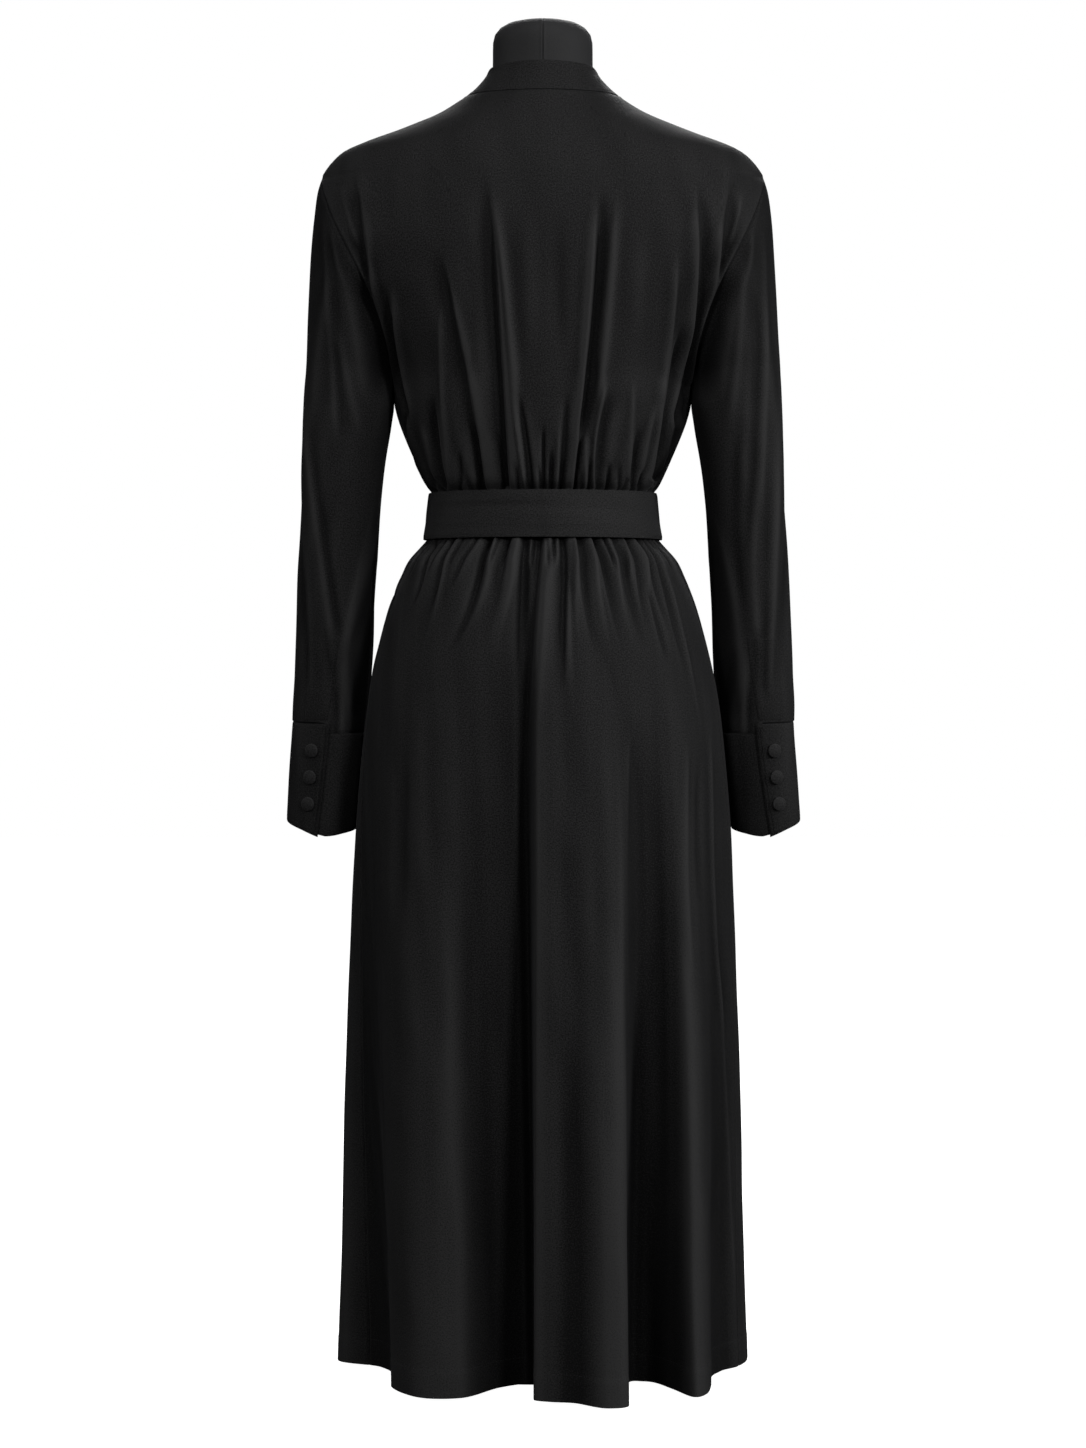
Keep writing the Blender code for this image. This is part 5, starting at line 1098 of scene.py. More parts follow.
# ---- sewing ----
@dataclass
class Stitching:
    """Rows of stitches along lines on the cloth."""

    pitch: float = 2.9
    length: float = 2.1
    width: float = 0.34
    depth: float = 0.22
    material: Material | None = None

    def sew(self, name: str, lines: Sequence[Array]) -> Piece:
        """Sews along every line.

        Args:
            name: Name of the finished object.
            lines: Arrays of points in mm.

        Returns:
            One plain mesh with every stitch.
        """
        path = self.path(name + "_path", lines)
        tree, sockets = self.tree()
        modifier = path.modifiers.new("stitches", "NODES")
        modifier.node_group = tree
        for socket, size in zip(sockets, (self.pitch, self.length, self.width, self.depth)):
            modifier[socket] = size * MM
        bpy.context.view_layer.update()
        ready = path.evaluated_get(bpy.context.evaluated_depsgraph_get())
        mesh = bpy.data.meshes.new_from_object(ready)
        mesh.name = name
        mesh.shade_smooth()
        made = linked(name, mesh)
        bpy.data.objects.remove(path)
        bpy.data.node_groups.remove(tree)
        return made

    def path(self, name: str, lines: Sequence[Array]) -> Piece:
        """A curve object with one open spline for each line."""
        curve = bpy.data.curves.new(name, "CURVE")
        curve.dimensions = "3D"
        for line in lines:
            spline = curve.splines.new("POLY")
            spline.points.add(len(line) - 1)
            points = np.hstack([line * MM, np.ones((len(line), 1))])
            spline.points.foreach_set("co", points.astype(np.float32).ravel())
        return linked(name, curve)

    def tree(self) -> tuple[bpy.types.NodeTree, list[str]]:
        """The tree that sets stitches along a curve, and the identifiers of its four sizes."""
        tree = bpy.data.node_groups.new("stitch_row", "GeometryNodeTree")
        face = tree.interface
        face.new_socket("Geometry", in_out="INPUT", socket_type="NodeSocketGeometry")
        names = ("Pitch", "Length", "Width", "Depth")
        sockets = [face.new_socket(name, in_out="INPUT", socket_type="NodeSocketFloat") for name in names]
        face.new_socket("Geometry", in_out="OUTPUT", socket_type="NodeSocketGeometry")
        given = tree.nodes.new("NodeGroupInput").outputs
        add = Nodes(tree).node
        line = {"Curve": given["Geometry"], "Length": given["Pitch"]}
        spread = add("GeometryNodeResampleCurve", {"mode": "LENGTH"}, line)
        stitch = add("GeometryNodeMeshUVSphere", {}, {"Segments": 6, "Rings": 3, "Radius": 0.5})
        size = add("ShaderNodeCombineXYZ", {}, [given["Width"], given["Depth"], given["Length"]])
        along = add("GeometryNodeInputTangent")
        turn = add("FunctionNodeAlignRotationToVector", {"axis": "Z"}, {"Vector": along})
        parts = {"Points": spread, "Instance": stitch, "Rotation": turn, "Scale": size}
        real = add("GeometryNodeRealizeInstances", {}, [add("GeometryNodeInstanceOnPoints", {}, parts)])
        sewn = add("GeometryNodeSetMaterial", {}, {"Geometry": real, "Material": self.material})
        tree.links.new(sewn.socket, tree.nodes.new("NodeGroupOutput").inputs[0])
        return tree, [socket.identifier for socket in sockets]


@dataclass
class Wardrobe:
    """What every sub-assembly needs: finishes, the sewing and the list of made pieces."""

    crepe: Material
    jersey: Material
    enamel: Material
    sewing: Stitching
    made: list = field(default_factory=list)

    def keep(self, piece: Piece, slot: str, *nodes: str) -> Piece:
        """Rides a piece on the body and hides the nodes that it stands for."""
        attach(piece, BODY)
        if nodes:
            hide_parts(*nodes)
        piece.data.calc_loop_triangles()
        log.info("%s: %d triangles", piece.name, len(piece.data.loop_triangles))
        self.made.append(piece)
        return piece

    def hang(self, cloth: Cloth, node: str, hold: Hold, rests_on: Sequence[str]) -> Piece:
        """Builds a piece of cloth for a node and logs its cut.

        Args:
            cloth: The piece.
            node: The solid that it stands for.
            hold: How it is held; not used.
            rests_on: What carries it.

        Returns:
            The finished object.
        """
        piece = self.keep(cloth.build(self.crepe), "black_crepe", node)
        width, length, area = cloth.size()
        share = area / (width * length)
        area = None if share > FULL_CUT else max(area, LEAST_CUT * width * length)
        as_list(rests_on)
        cut = area or width * length
        log.info("%s: cut %.0f x %.0f mm, %.3f m2", piece.name, width / MM, length / MM, cut)
        return piece

    def sew(self, name: str, lines: Sequence[Array]) -> Piece:
        """Sews lines and keeps the stitches."""
        return self.keep(self.sewing.sew(name, lines), "black_crepe")


# ---- the bodice ----
@dataclass
class Bodice:
    """Back panel, two crossing fronts and the neckband."""

    band_width: float = 32.0
    band_lift: float = 0.1
    stitch_inset: float = 3.4
    gather: tuple = (4.2, 1.8)
    press: float = 0.2
    press_end: float = 6.0
    puff: float = 1.8
    under_from: float = 42.0
    under_to: float = 13.0
    under_calm: float = 0.8
    front_gap: float = 2.2
    gather_sink: float = 3.4
    seam_dip: float = 0.9
    seam_width: float = 1.7
    rows_end: float = 1182.0
    edge_turn: float = 0.8

    def __post_init__(self) -> None:
        """Makes the curves of the pattern's tables."""
        at = curves(BODICE)
        reaches = {"back": 15, "front": 15, "side": 4}
        even = {name: eased(getattr(at, name), reach, 840, 880) for name, reach in reaches.items()}
        self.at = at._replace(**even)
        self.band = curves(NECKBAND)
        self.edge_x = Curve(NECKBAND.edge_z, NECKBAND.edge_x)

    def section(self, z: Array, face: int) -> tuple[Array, Array, Array]:
        """Centre depth, end angle and width of a half section's ellipse; face is -1 for the back."""
        depth = self.at.back(z) if face < 0 else self.at.front(z)
        open_by = self.at.seam_back(z) if face < 0 else self.at.seam_front(z)
        end = np.arccos(np.clip(open_by / depth, 0, 1))
        return depth, end, self.at.side(z) / np.sin(end)

    def relief(self, share: Array, z: Array, face: int, depth_share: Array, creases: Sequence) -> Array:
        """Height of gathers, folds and creases.

        Args:
            share: Place across, from -1 to 1.
            z: Height.
            face: -1 for the back, 1 for the front.
            depth_share: How much of the gathers is kept.
            creases: The creases laid by hand.

        Returns:
            How far the cloth stands out.
        """
        depth, end, wide = self.section(z, face)
        half = end * 0.5 * (depth + wide)
        above = z - BELT_TOP
        free = self.press + (1 - self.press) * ramp(above, 0, self.press_end)
        total = np.zeros_like(share)
        for at, reach, dip in zip(*BODICE_GATHERS):
            total -= gather(above, reach, dip, (share + face * at) * half, 1.4, self.gather)
        fine = creased(creases, wide * np.sin(share * end), z)
        fine += ripple(share * half, z, 11 + face, 0.28) * ramp(above, 6, 50)
        total = (total + fine) * depth_share * ramp(1 - np.abs(share), 0, 0.06)
        puff = self.puff * ramp(above, 0.2, 2.5) * (1 - ramp(above, 12, 50)) * depth_share
        puff = puff * (1 - ramp(np.abs(share), 0.6, 0.85))
        low = np.maximum(free, ramp(above, -12, 0))
        return np.where(total > 0, total * free, total * low) + puff

    def point(
        self, share: Array, z: Array, face: int, depth_share: Array | float = 1.0, creases: Sequence = ()
    ) -> Array:
        """Points of the bodice's cloth."""
        share, z = np.broadcast_arrays(np.asarray(share, float), np.asarray(z, float))
        depth, end, wide = self.section(z, face)
        out = self.relief(share, z, face, depth_share, creases)
        seam = (1 - np.abs(share)) * end * 0.5 * (depth + wide)
        out = out - self.seam_dip * open_armhole(z) * bell(seam, self.seam_width)
        x, y = oval(share * end, wide, depth, out)
        return np.stack([x, face * y, z], axis=-1)

    def share_at(self, x: Array, z: Array, face: int) -> Array:
        """Share across the bodice at which its surface has this x."""
        _, end, wide = self.section(z, face)
        return np.arcsin(np.clip(np.asarray(x, float) / wide, -1, 1)) / end

    def rows(self, count: int) -> Array:
        """Heights of the panels' rows, close together at the belt."""
        crowd = [(BELT_TOP + 6, 1.6, 26), (SHOULDER_TIP, 0.8, 10)]
        return places(WAIST + 0.15, self.rows_end, count, crowd)

    def back(self) -> Cloth:
        """The back panel, from the waist to the neckband."""
        gathers = [(at, 0.7, 0.022) for at in BODICE_GATHERS.share]
        share = places(-1, 1, 401, [*gathers, (-1, 2.2, 0.02), (1, 2.2, 0.02)])
        rows = self.rows(149)
        end = NECK_SEAM + NECK_SEAM_RISE * share**2 - SEAM_GAP
        steps = np.linspace(0, 1, 13)[1:, None]
        z = np.vstack([rows[:, None] + 0 * share, rows[-1] + (end - rows[-1]) * (1 - (1 - steps) ** 1.7)])
        cloth = Cloth("back_panel", self.point(share, z, -1, 1.0, BACK_CREASES))
        rolled_in = 0.45 * bell(z[-1] - z, 1.4)
        return cloth.moved(-rolled_in, unit(cloth.normals * LEVEL))

    def layer(self, share: Array, z: Array, lower: bool) -> Array:
        """Points of a front; the lower one is flatter and lies further in."""
        rough = self.point(share, z, 1, 0.0)
        edge = self.edge_x(z)
        hidden = ramp(rough[..., 0], edge - self.under_from, edge - self.under_to) if lower else 0 * edge
        near_belt = 1 - ramp(z, BELT_TOP + 10, BELT_TOP + 70)
        sink = hidden * (BAND_SHELL + 0.2 + self.front_gap + self.gather_sink * near_belt)
        _, end, wide = self.section(z, 1)
        depth = self.at.front(z)
        angle = share * end
        level = unit(np.stack([np.sin(angle) / wide, np.cos(angle) / depth, 0 * angle], -1))
        creases = UNDER_CREASES if lower else WRAP_CREASES
        points = self.point(share, z, 1, 1 - self.under_calm * hidden, creases)
        return points - sink[..., None] * level

    def top_row(self, part: Array) -> tuple[Array, Array]:
        """Share and height along the right front's top: part is 0 at the shoulder, 1 at the corner."""
        corner = self.share_at(self.band.seam_x(NECK_CORNER) + 0.5 * SEAM_GAP, NECK_CORNER, 1)
        top = NECK_SEAM + NECK_SEAM_RISE
        return 1 + (corner - 1) * part, top - (top - NECK_CORNER) * part**2

    def front(self, side: int) -> Cloth:
        """A front: side is 1 for the right one, which lies on top, and -1 for the left one."""
        stop = float(self.share_at(side * self.band.seam_x(WAIST), WAIST, 1)) * side
        crowd = [((1 + side * at) / (1 - stop), 0.7, 0.02) for at in BODICE_GATHERS.share]
        part = places(0, 1, 181, [*crowd, (0, 2.2, 0.015), (1, 2.2, 0.015)])
        rows = self.rows(129)[:, None]
        start = float(side)
        seam_x = side * (self.band.seam_x(rows) + 0.5 * SEAM_GAP)
        share = start + (self.share_at(seam_x, rows, 1) - start) * part
        top_share, top_z = self.top_row(part)
        steps = np.linspace(0, 1, 13)[1:, None]
        share = np.vstack([share, share[-1] + (side * top_share - share[-1]) * steps])
        z = np.vstack([rows + 0 * part, rows[-1] + (top_z - SEAM_GAP - rows[-1]) * steps])
        points = self.layer(share, z, side < 0)
        if side > 0:
            points = points[:, ::-1]
        edge = points[:, :1] if side > 0 else points[:, -1:]
        turned = sum(bell(norm(points - line), 1.8) for line in (edge, points[-1:]))
        cloth = Cloth("front_over" if side > 0 else "front_under", points)
        return cloth.moved(-self.edge_turn * turned, cloth.normals)

    def band_stretch(self, side: int, across: Array) -> tuple[Array, Array]:
        """Shares and heights of one front stretch of the neckband: rows across, columns down."""
        part = np.linspace(0, 1, 29)[:-1]
        seam_share, seam_z = self.top_row(part)
        corner = self.share_at(self.band.edge_x(NECK_CORNER), self.band.edge_z(NECK_CORNER), 1)
        edge_share = 1 + (corner - 1) * part
        down = NECK_CORNER + (WAIST + 0.15 - NECK_CORNER) * np.linspace(0, 1, 125)
        seam_share = np.append(seam_share, self.share_at(self.band.seam_x(down), down, 1))
        seam_z = np.append(seam_z, down)
        edge_z = self.band.edge_z(seam_z)
        free = self.share_at(side * self.band.edge_x(down), edge_z[len(part) :], 1) * side
        edge_share = np.append(edge_share, free)
        return side * (seam_share + (edge_share - seam_share) * across), seam_z + (edge_z - seam_z) * across

    def neckband(self) -> Cloth:
        """One band from the left waist up round the back of the neck and down to the right waist."""
        across = np.linspace(0.5 * SEAM_GAP / self.band_width, 1, 17)[:, None]
        fronts = [self.layer(*self.band_stretch(side, across), side < 0) for side in (-1, 1)]
        share = np.linspace(-1, 1, 91)[1:-1] + 0 * across
        low = NECK_SEAM + NECK_SEAM_RISE * share**2
        z = low + (NECK_EDGE - NECK_EDGE_DROP * share**2 - low) * across
        points = np.concatenate([fronts[0][:, ::-1], self.point(share, z, -1), fronts[1]], axis=1)
        points = points[:, : points.shape[1] - 1 + points.shape[1] % 2]
        cloth = Cloth("neckband_crepe", points, BAND_SHELL)
        edge = np.minimum(across, 1 - across) * self.band_width
        plump = plumped(edge, (0.5, 1.2), (0.2, self.stitch_inset, 0.8))
        return cloth.moved(self.band_lift + plump, cloth.calm_normals())

    def stitch_lines(self, band: Cloth) -> list[Array]:
        """Topstitching along both edges of the neckband."""
        inset = self.stitch_inset / self.band_width
        lines = []
        for share in (inset, 1 - inset):
            place = share * (band.points.shape[0] - 1)
            low = int(place)
            line = band.points[low] + (place - low) * (band.points[low + 1] - band.points[low])
            lines.append(line + 0.12 * band.normals[low])
        return lines

    def dress(self, wardrobe: Wardrobe) -> None:
        """Builds every piece of the bodice, logs their cuts and sews the neckband."""
        carried = ["form_torso"]
        band = self.neckband()
        wardrobe.hang(self.back(), "bodice_back", Hold.GATHERED, carried)
        wardrobe.hang(self.front(1), "bodice_front_right", Hold.GATHERED, carried)
        wardrobe.hang(self.front(-1), "bodice_front_left", Hold.GATHERED, carried)
        wardrobe.hang(band, "neckband", Hold.FOLDED, carried)
        wardrobe.sew("neckband_stitches", self.stitch_lines(band))


# ---- the skirt ----
@dataclass
class Skirt:
    """Gathered back panel and two front panels that lap over each other."""

    seam: float = 80.0
    overlap_edge: float = 208.0
    underlap_edge: float = 150.0
    gather: tuple = (4.6, 1.7)
    press: float = 0.2
    press_end: float = 6.0
    puff: float = 2.4
    front_turn: float = 183.0
    under_calm: float = 0.8
    layer_gap: float = 0.8
    gather_sink: float = 3.4
    hem_depth: float = 25.0
    edge_turn: float = 0.7

    def __post_init__(self) -> None:
        """Makes the curves of the pattern's tables."""
        self.at = curves(SKIRT)
        radians = np.radians(FOLDS.hang)
        hem_x = SKIRT.side[0] * np.sin(radians)
        hem_y = -SKIRT.back[0] * np.cos(radians)
        around = np.concatenate([FOLDS.hang - 360, FOLDS.hang, FOLDS.hang + 360])
        moves = (FOLDS.x - hem_x, FOLDS.y - hem_y)
        self.fold_x, self.fold_y = (Curve(around, np.tile(move, 3), tight=False) for move in moves)
        self.fold_top, self.fold_ease = (Curve(around, np.tile(c, 3)) for c in (FOLDS.top, FOLDS.ease))

    def relief(self, angle: Array, z: Array, depth_share: Array | float) -> Array:
        """Height of the gathers and creases."""
        radius = 0.5 * (self.at.side(z) + self.at.back(z))
        below = BELT_BOTTOM - z
        free = self.press + (1 - self.press) * ramp(below, 0, self.press_end)
        total = np.zeros(np.broadcast(angle, z).shape)
        for turn, flip in ((0.0, 1.0), (self.front_turn, -1.0)):
            for hang, reach, dip in zip(*SKIRT_GATHERS):
                away = (angle - turn - flip * hang + 180) % 360 - 180
                total -= gather(below, reach, dip, np.radians(away) * radius, 1.3, self.gather)
        scale = np.radians(1.0) * radius
        fine = creased(SKIRT_CREASES + SKIRT_FRONT_CREASES, angle, z, scale)
        fine += ripple(angle * scale, z, 5, 0.34) * ramp(below, 10, 60)
        total = (total + fine) * depth_share
        puff = self.puff * ramp(below, 0.2, 2.5) * (1 - ramp(below, 14, 60)) * depth_share
        puff = puff * (1 - ramp(np.abs(np.sin(np.radians(angle))), 0.7, 0.95))
        return np.where(total > 0, total * free, total) + puff

    def point(self, angle: Array, z: Array, depth_share: Array | float = 1.0) -> Array:
        """Points of the skirt at angles in degrees from the centre back."""
        angle, z = np.broadcast_arrays(np.asarray(angle, float), np.asarray(z, float))
        radians = np.radians(angle)
        depth = np.where(np.cos(radians) > 0, self.at.back(z), self.at.front(z))
        x, y = oval(radians, self.at.side(z), depth, self.relief(angle, z, depth_share))
        wrapped = (angle + 90) % 360 - 90
        top = self.fold_top(wrapped)
        grown = np.clip((top - z) / (top - HEM), 0, 1) ** self.fold_ease(wrapped)
        return np.stack([x + grown * self.fold_x(wrapped), -y + grown * self.fold_y(wrapped), z], axis=-1)

    def angles(self, start: float, end: float, count: int) -> Array:
        """Angles of the columns, so that they stand evenly along both the waist and the hem."""
        fine = np.linspace(start, end, 1501)
        filled = np.zeros_like(fine)
        for z in (HEM, 300.0, BELT_BOTTOM - 10):
            step = norm(np.diff(self.point(fine, z), axis=0))
            filled[1:] += np.cumsum(step) / step.sum()
        filled[1:] += 0.12 * (1 - bell(fine[1:] - start, 0.6)) + 0.12 * bell(fine[1:] - end, 0.6)
        filled = np.maximum.accumulate(filled)
        found = np.interp(np.linspace(0, filled[-1], count), filled, fine)
        found[0], found[-1] = start, end
        return found

    def rows(self, count: int) -> Array:
        """Heights of the rows, closer together at the belt and at the hem."""
        crowd = [(BELT_BOTTOM - 8, 3.2, 34), (BELT_BOTTOM - 60, 1.2, 70), (HEM, 2.5, 8)]
        return places(HEM, WAIST - 0.15, count, [*crowd, (HEM + self.hem_depth, 2.0, 6)])

    def panel(self, name: str, start: float, end: float, counts: tuple[int, int], lower: bool) -> Cloth:
        """One panel of the skirt.

        Args:
            name: Its name.
            start: Angle of its first edge.
            end: Angle of its last edge.
            counts: Columns and rows.
            lower: Whether it sinks under the other front panel.

        Returns:
            The piece of cloth.
        """
        angle = self.angles(start, end, counts[0])
        z = self.rows(counts[1])[:, None] + 0 * angle
        angle = angle + 0 * z
        hidden = 1 - ramp(angle, self.overlap_edge + 1, self.overlap_edge + 14) if lower else 0 * angle
        points = self.point(angle, z, 1 - self.under_calm * hidden)
        cloth = Cloth(name, points)
        near_belt = ramp(z, BELT_BOTTOM - 150, BELT_BOTTOM - 20)
        sink = hidden * (CREPE_SHELL + 0.5 + self.layer_gap + self.gather_sink * near_belt)
        above_hem = z - HEM - self.hem_depth
        sink = sink - 0.35 * (1 - ramp(above_hem, -1.2, 1.2)) + 0.25 * bell(above_hem, 1.3)
        ends = np.minimum(norm(points - points[:, :1]), norm(points - points[:, -1:]))
        sink = sink + self.edge_turn * bell(ends, 1.5)
        cloth.points = points - sink[..., None] * unit(cloth.normals * LEVEL)
        for column, sewn in ((0, not lower), (-1, abs(end) != self.overlap_edge)):
            if sewn:
                inward = self.edge_turn * unit(points[:, column] * LEVEL)
                cloth.points[:, column] = points[:, column] - inward
        cloth.normals = cloth.outward()
        return cloth

    def dress(self, wardrobe: Wardrobe) -> None:
        seam = self.seam
        back = self.panel("skirt_back_panel", -seam, seam, (361, 179), False)
        over = self.panel("skirt_over", seam, self.overlap_edge, (241, 133), False)
        under = self.panel("skirt_under", self.underlap_edge, 360 - seam, (241, 133), True)
        wardrobe.hang(back, "skirt_back", Hold.GATHERED, ["belt"])
        wardrobe.hang(over, "skirt_front_right", Hold.GATHERED, ["belt"])
        wardrobe.hang(under, "skirt_front_left", Hold.GATHERED, ["belt"])
        hem = HEM + self.hem_depth
        lines = [line for cloth in (back, over, under) for line in cloth.lines(0.05, cloth.row_at(hem))]
        wardrobe.sew("hem_stitches", [*lines, *over.lines(0.1, np.s_[6:150, -9])])


# ---- the sleeves ----
@dataclass
class Sleeve:
    """A set-in sleeve with its placket, its cuff and three covered buttons."""

    side: int
    bodice: Bodice
    armhole_clear: float = 0.36
    seam_tuck: float = 0.005
    cuff_inset: float = 2.4
    cuff_puff: float = 0.9
    cuff_slant: float = 6.5
    crown_start: float = 1121.0
    crown_clear: float = 0.4
    crown_low: float = 0.5
    cuff_start: float = 125.0
    cuff_sizes: tuple = (("outer", 242.7), ("inner", 180.5), ("half_depth", 34.0), ("centre", 30.0))
    cuff_bottom: float = 506.0
    cuff_top: float = 601.0
    cuff_lift: float = 3.3
    cuff_height: float = 96.0
    cuff_girth: float = 0.68  # mm for each degree
    button_radius: float = 6.6
    button_height: float = 3.9
    button_top: float = 583.9
    button_turn: float = 375.3
    button_pitch: float = 25.3
    button_sides: int = 48
    button_lip: tuple = (0.8, 1.8, 1.2)  # half width, height of its middle and half height
    dome_start: tuple = (0.7, 2.95)  # inset and height
    tube_rows: tuple = (612.0, 1112.0)
    hidden_rows: tuple = (-8.0, -4.0, -1.1)
    placket: tuple = (90.5, 129.0, 613.0, 690.0)
    placket_lean: float = 0.15
    placket_shell: float = 0.5

    def __post_init__(self) -> None:
        """Makes the curves of the pattern's tables."""
        self.at, self.cap, self.pit = curves(SLEEVE), curves(SLEEVE_CAP), curves(SLEEVE_PIT)
        self.edge, self.cuff_at = curves(SLEEVE_EDGE), curves(CUFF)
        self.hang = curves(RIGHT_HANG if self.side > 0 else LEFT_HANG)
        self.word = "right" if self.side > 0 else "left"
        self.flip = MIRROR if self.side < 0 else np.ones(3)

    def relief(self, angle: Array, z: Array, radius: Array, x: Array) -> Array:
        """Height of the long folds and the creases; angle is 0 on the body's side and 90 behind."""
        total = np.zeros_like(x)
        for low_angle, top_angle, low, top, width, rise in zip(*SLEEVE_FOLDS):
            t = np.clip((z - low) / (top - low), 0, 1)
            away = (angle - low_angle - (top_angle - low_angle) * t + 180) % 360 - 180
            total += rise * np.sin(np.pi * t) ** 0.8 * bell(np.radians(away) * radius, width)
        behind = ramp(np.sin(np.radians(angle)), -0.05, 0.3)
        before = ramp(-np.sin(np.radians(angle)), -0.05, 0.3)
        creases = RIGHT_SLEEVE_CREASES if self.side > 0 else LEFT_SLEEVE_CREASES
        total += behind * creased(creases, self.side * x, z)
        total += before * creased(SLEEVE_FRONT_CREASES, x, z)
        return total + ripple(angle * 0.75, z, 21 + self.side, 0.3)

    def sway(self, angle: Array, z: Array) -> Array:
        """How far the sleeve hangs away from its pattern; angle is 0 on the body's side."""
        outward = 0.5 - 0.5 * np.cos(angle)
        return self.hang.inner(z) * (1 - outward) + self.hang.outer(z) * outward

    def puff(self, angle: Array, z: Array) -> Array:
        """How far the cloth stands out over the cuff's seam, most of all above its outer end."""
        over = z - self.edge.height(angle)
        lifted = ramp(angle, 85, 91) * (1 - ramp(angle, 140, 195))
        near = ramp(over, -1.6, 0.2) * (1 - ramp(over, 8, 48))
        return near * (self.cuff_puff + 0.9 * lifted)

    def point(self, turn: Array, z: Array) -> Array:
        """Points of the right sleeve from the underarm round the back to the front."""
        turn, z = np.broadcast_arrays(np.asarray(turn, float), np.asarray(z, float))
        above = z > UNDERARM
        outer = np.where(above, self.cap.outer(z), self.at.outer(z))
        body = self.bodice.at
        seam_x = body.side(z) + self.armhole_clear * (0.3 + 0.7 * open_armhole(z))
        back, front = body.seam_back(z), body.seam_front(z)
        half, pit = 0.5 * (back + front), self.pit.half_depth
        by_depth = np.arcsin(np.clip(half / pit(z), 0, 1))
        blend = ramp(z, pit.at[-1] - 8, pit.at[-1] + 30)
        meets = np.where(above, by_depth + (np.radians(self.cap.meets(z)) - by_depth) * blend, 0.0)
        inner = np.where(above, seam_x, self.at.inner(z))
        half_width = (outer - inner) / (1 + np.cos(meets))
        deep = np.where(z < pit.at[-1], pit(z), half / np.maximum(np.sin(meets), 1e-6))
        half_depth = np.where(above, deep, self.at.half_depth(z))
        armhole_y = np.minimum(0.5 * (front - back), SLEEVE.centre[-1])
        centre_y = np.where(above, armhole_y, self.at.centre(z))
        angle = meets + turn * (2 * np.pi - 2 * meets)
        radius = 0.5 * (half_width + half_depth)
        flat_x = outer - half_width - half_width * np.cos(angle)
        out = self.relief(np.degrees(angle), z, radius, flat_x)
        out = out + self.puff(np.degrees(angle), z)
        share = np.minimum(turn, 1 - turn)
        out = np.where(above, out * ramp(share, 0, 0.06), out)
        seam = share * 2 * (np.pi - meets) * radius
        out = out - np.where(above, 0.9 * open_armhole(z), 0.45) * bell(seam, 1.6)
        x = flat_x - out * np.cos(angle) + self.sway(angle, z)
        y = centre_y - (half_depth + out) * np.sin(angle)
        behind = ramp(np.sin(angle), 0.0, 0.5)
        y = y + behind * sum(hollow.depth(flat_x, z) for hollow in SLEEVE_HOLLOWS)
        return np.stack([x, y, z], axis=-1)

    def crown(self, turn: Array) -> Array:
        """The sleeve's last row, over the tip of the shoulder just outside the bodice's edge."""
        start, body = self.crown_start, self.bodice.at
        row = self.point(turn, np.full_like(turn, start))
        reach = np.where(row[:, 1] < 0, body.seam_back(start), body.seam_front(start))
        lift = 1 - np.clip(np.abs(row[:, 1]) / reach, 0, 1)
        row[:, 0] = body.side(start) + self.crown_clear + (body.side(SHOULDER_TIP) - body.side(start)) * lift
        row[:, 2] += (SHOULDER_TIP - start - self.crown_low) * lift
        return row

    def tube(self) -> Cloth:
        """The sleeve: a ring up to the underarm, and above it a cap open at the armhole."""
        turn = places(0, 1, 121, [(0, 1.5, 0.01), (1, 1.5, 0.01)])
        low, high = self.tube_rows
        below = places(low, UNDERARM - 0.3, 108, [(low, 1.2, 14)])
        above = places(UNDERARM + 1.4, high, 61, [(UNDERARM, 1.0, 12)])
        bottom = self.edge.height(360 * turn)
        hidden = bottom + np.array(self.hidden_rows)[:, None]
        low_rows = np.vstack([hidden, bottom + (low - bottom) * np.linspace(0, 1, 5)[:-1, None]])
        z = np.vstack([low_rows, np.concatenate([below, above])[:, None] + 0 * turn])
        closed = len(low_rows) + len(below)
        tuck = self.seam_tuck * ramp(z, UNDERARM, UNDERARM + 6)
        points = self.point(turn * (1 + 2 * tuck) - tuck, z)
        points[:closed, -1] = points[:closed, 0]
        ring = points[:closed]
        inset = self.cuff_inset * (1 - ramp(z - bottom, -1.0, 0.3))[:closed, :, None]
        points[:closed] -= inset * unit((ring - ring.mean(1, keepdims=True)) * LEVEL)
        last = self.point(turn, np.full_like(turn, self.crown_start))
        tucked = turn * (1 + 2 * self.seam_tuck) - self.seam_tuck
        rows = [points]
        for t in np.linspace(0, 1, 9)[1:]:
            row = self.point(tucked, np.full_like(turn, high + (self.crown_start - high) * t))
            rows.append((row + t * t * (self.crown(turn) - last))[None])
        points = np.concatenate(rows)
        closed -= 1 - closed % 2
        if points.shape[0] % 2 == 0:
            points = np.delete(points, 2, 0)
        return self.placed(Cloth(f"{self.word}_sleeve", points, CREPE_SHELL, closed))

    def placed(self, cloth: Cloth) -> Cloth:
        """The piece on its own side of the dress."""
        if self.side > 0:
            return cloth
        return Cloth(cloth.name, (cloth.points * MIRROR)[:, ::-1], cloth.thickness, cloth.closed_below)

    def cuff_point(self, turn: Array, down: Array) -> Array:
        """Points of the right cuff: turn in degrees from its hidden end, down from 0 to 1."""
        z = self.cuff_at.top(turn) + (self.cuff_at.bottom(turn) - self.cuff_at.top(turn)) * down
        t = (self.cuff_top - z) / (self.cuff_top - self.cuff_bottom)
        above = [(getattr(self.at, name)(self.cuff_top), size) for name, size in self.cuff_sizes]
        outer, inner, deep, centre = (start + (size - start) * t for start, size in above)
        angle = np.radians(self.cuff_start - turn)
        lift = self.cuff_lift * ramp(turn, 290.0, 345.0)
        x = 0.5 * (outer + inner) - (0.5 * (outer - inner) + lift) * np.cos(angle)
        x = x + self.sway(angle, z)
        y = centre - (deep + lift) * np.sin(angle)
        return np.stack([x, y, z], axis=-1)

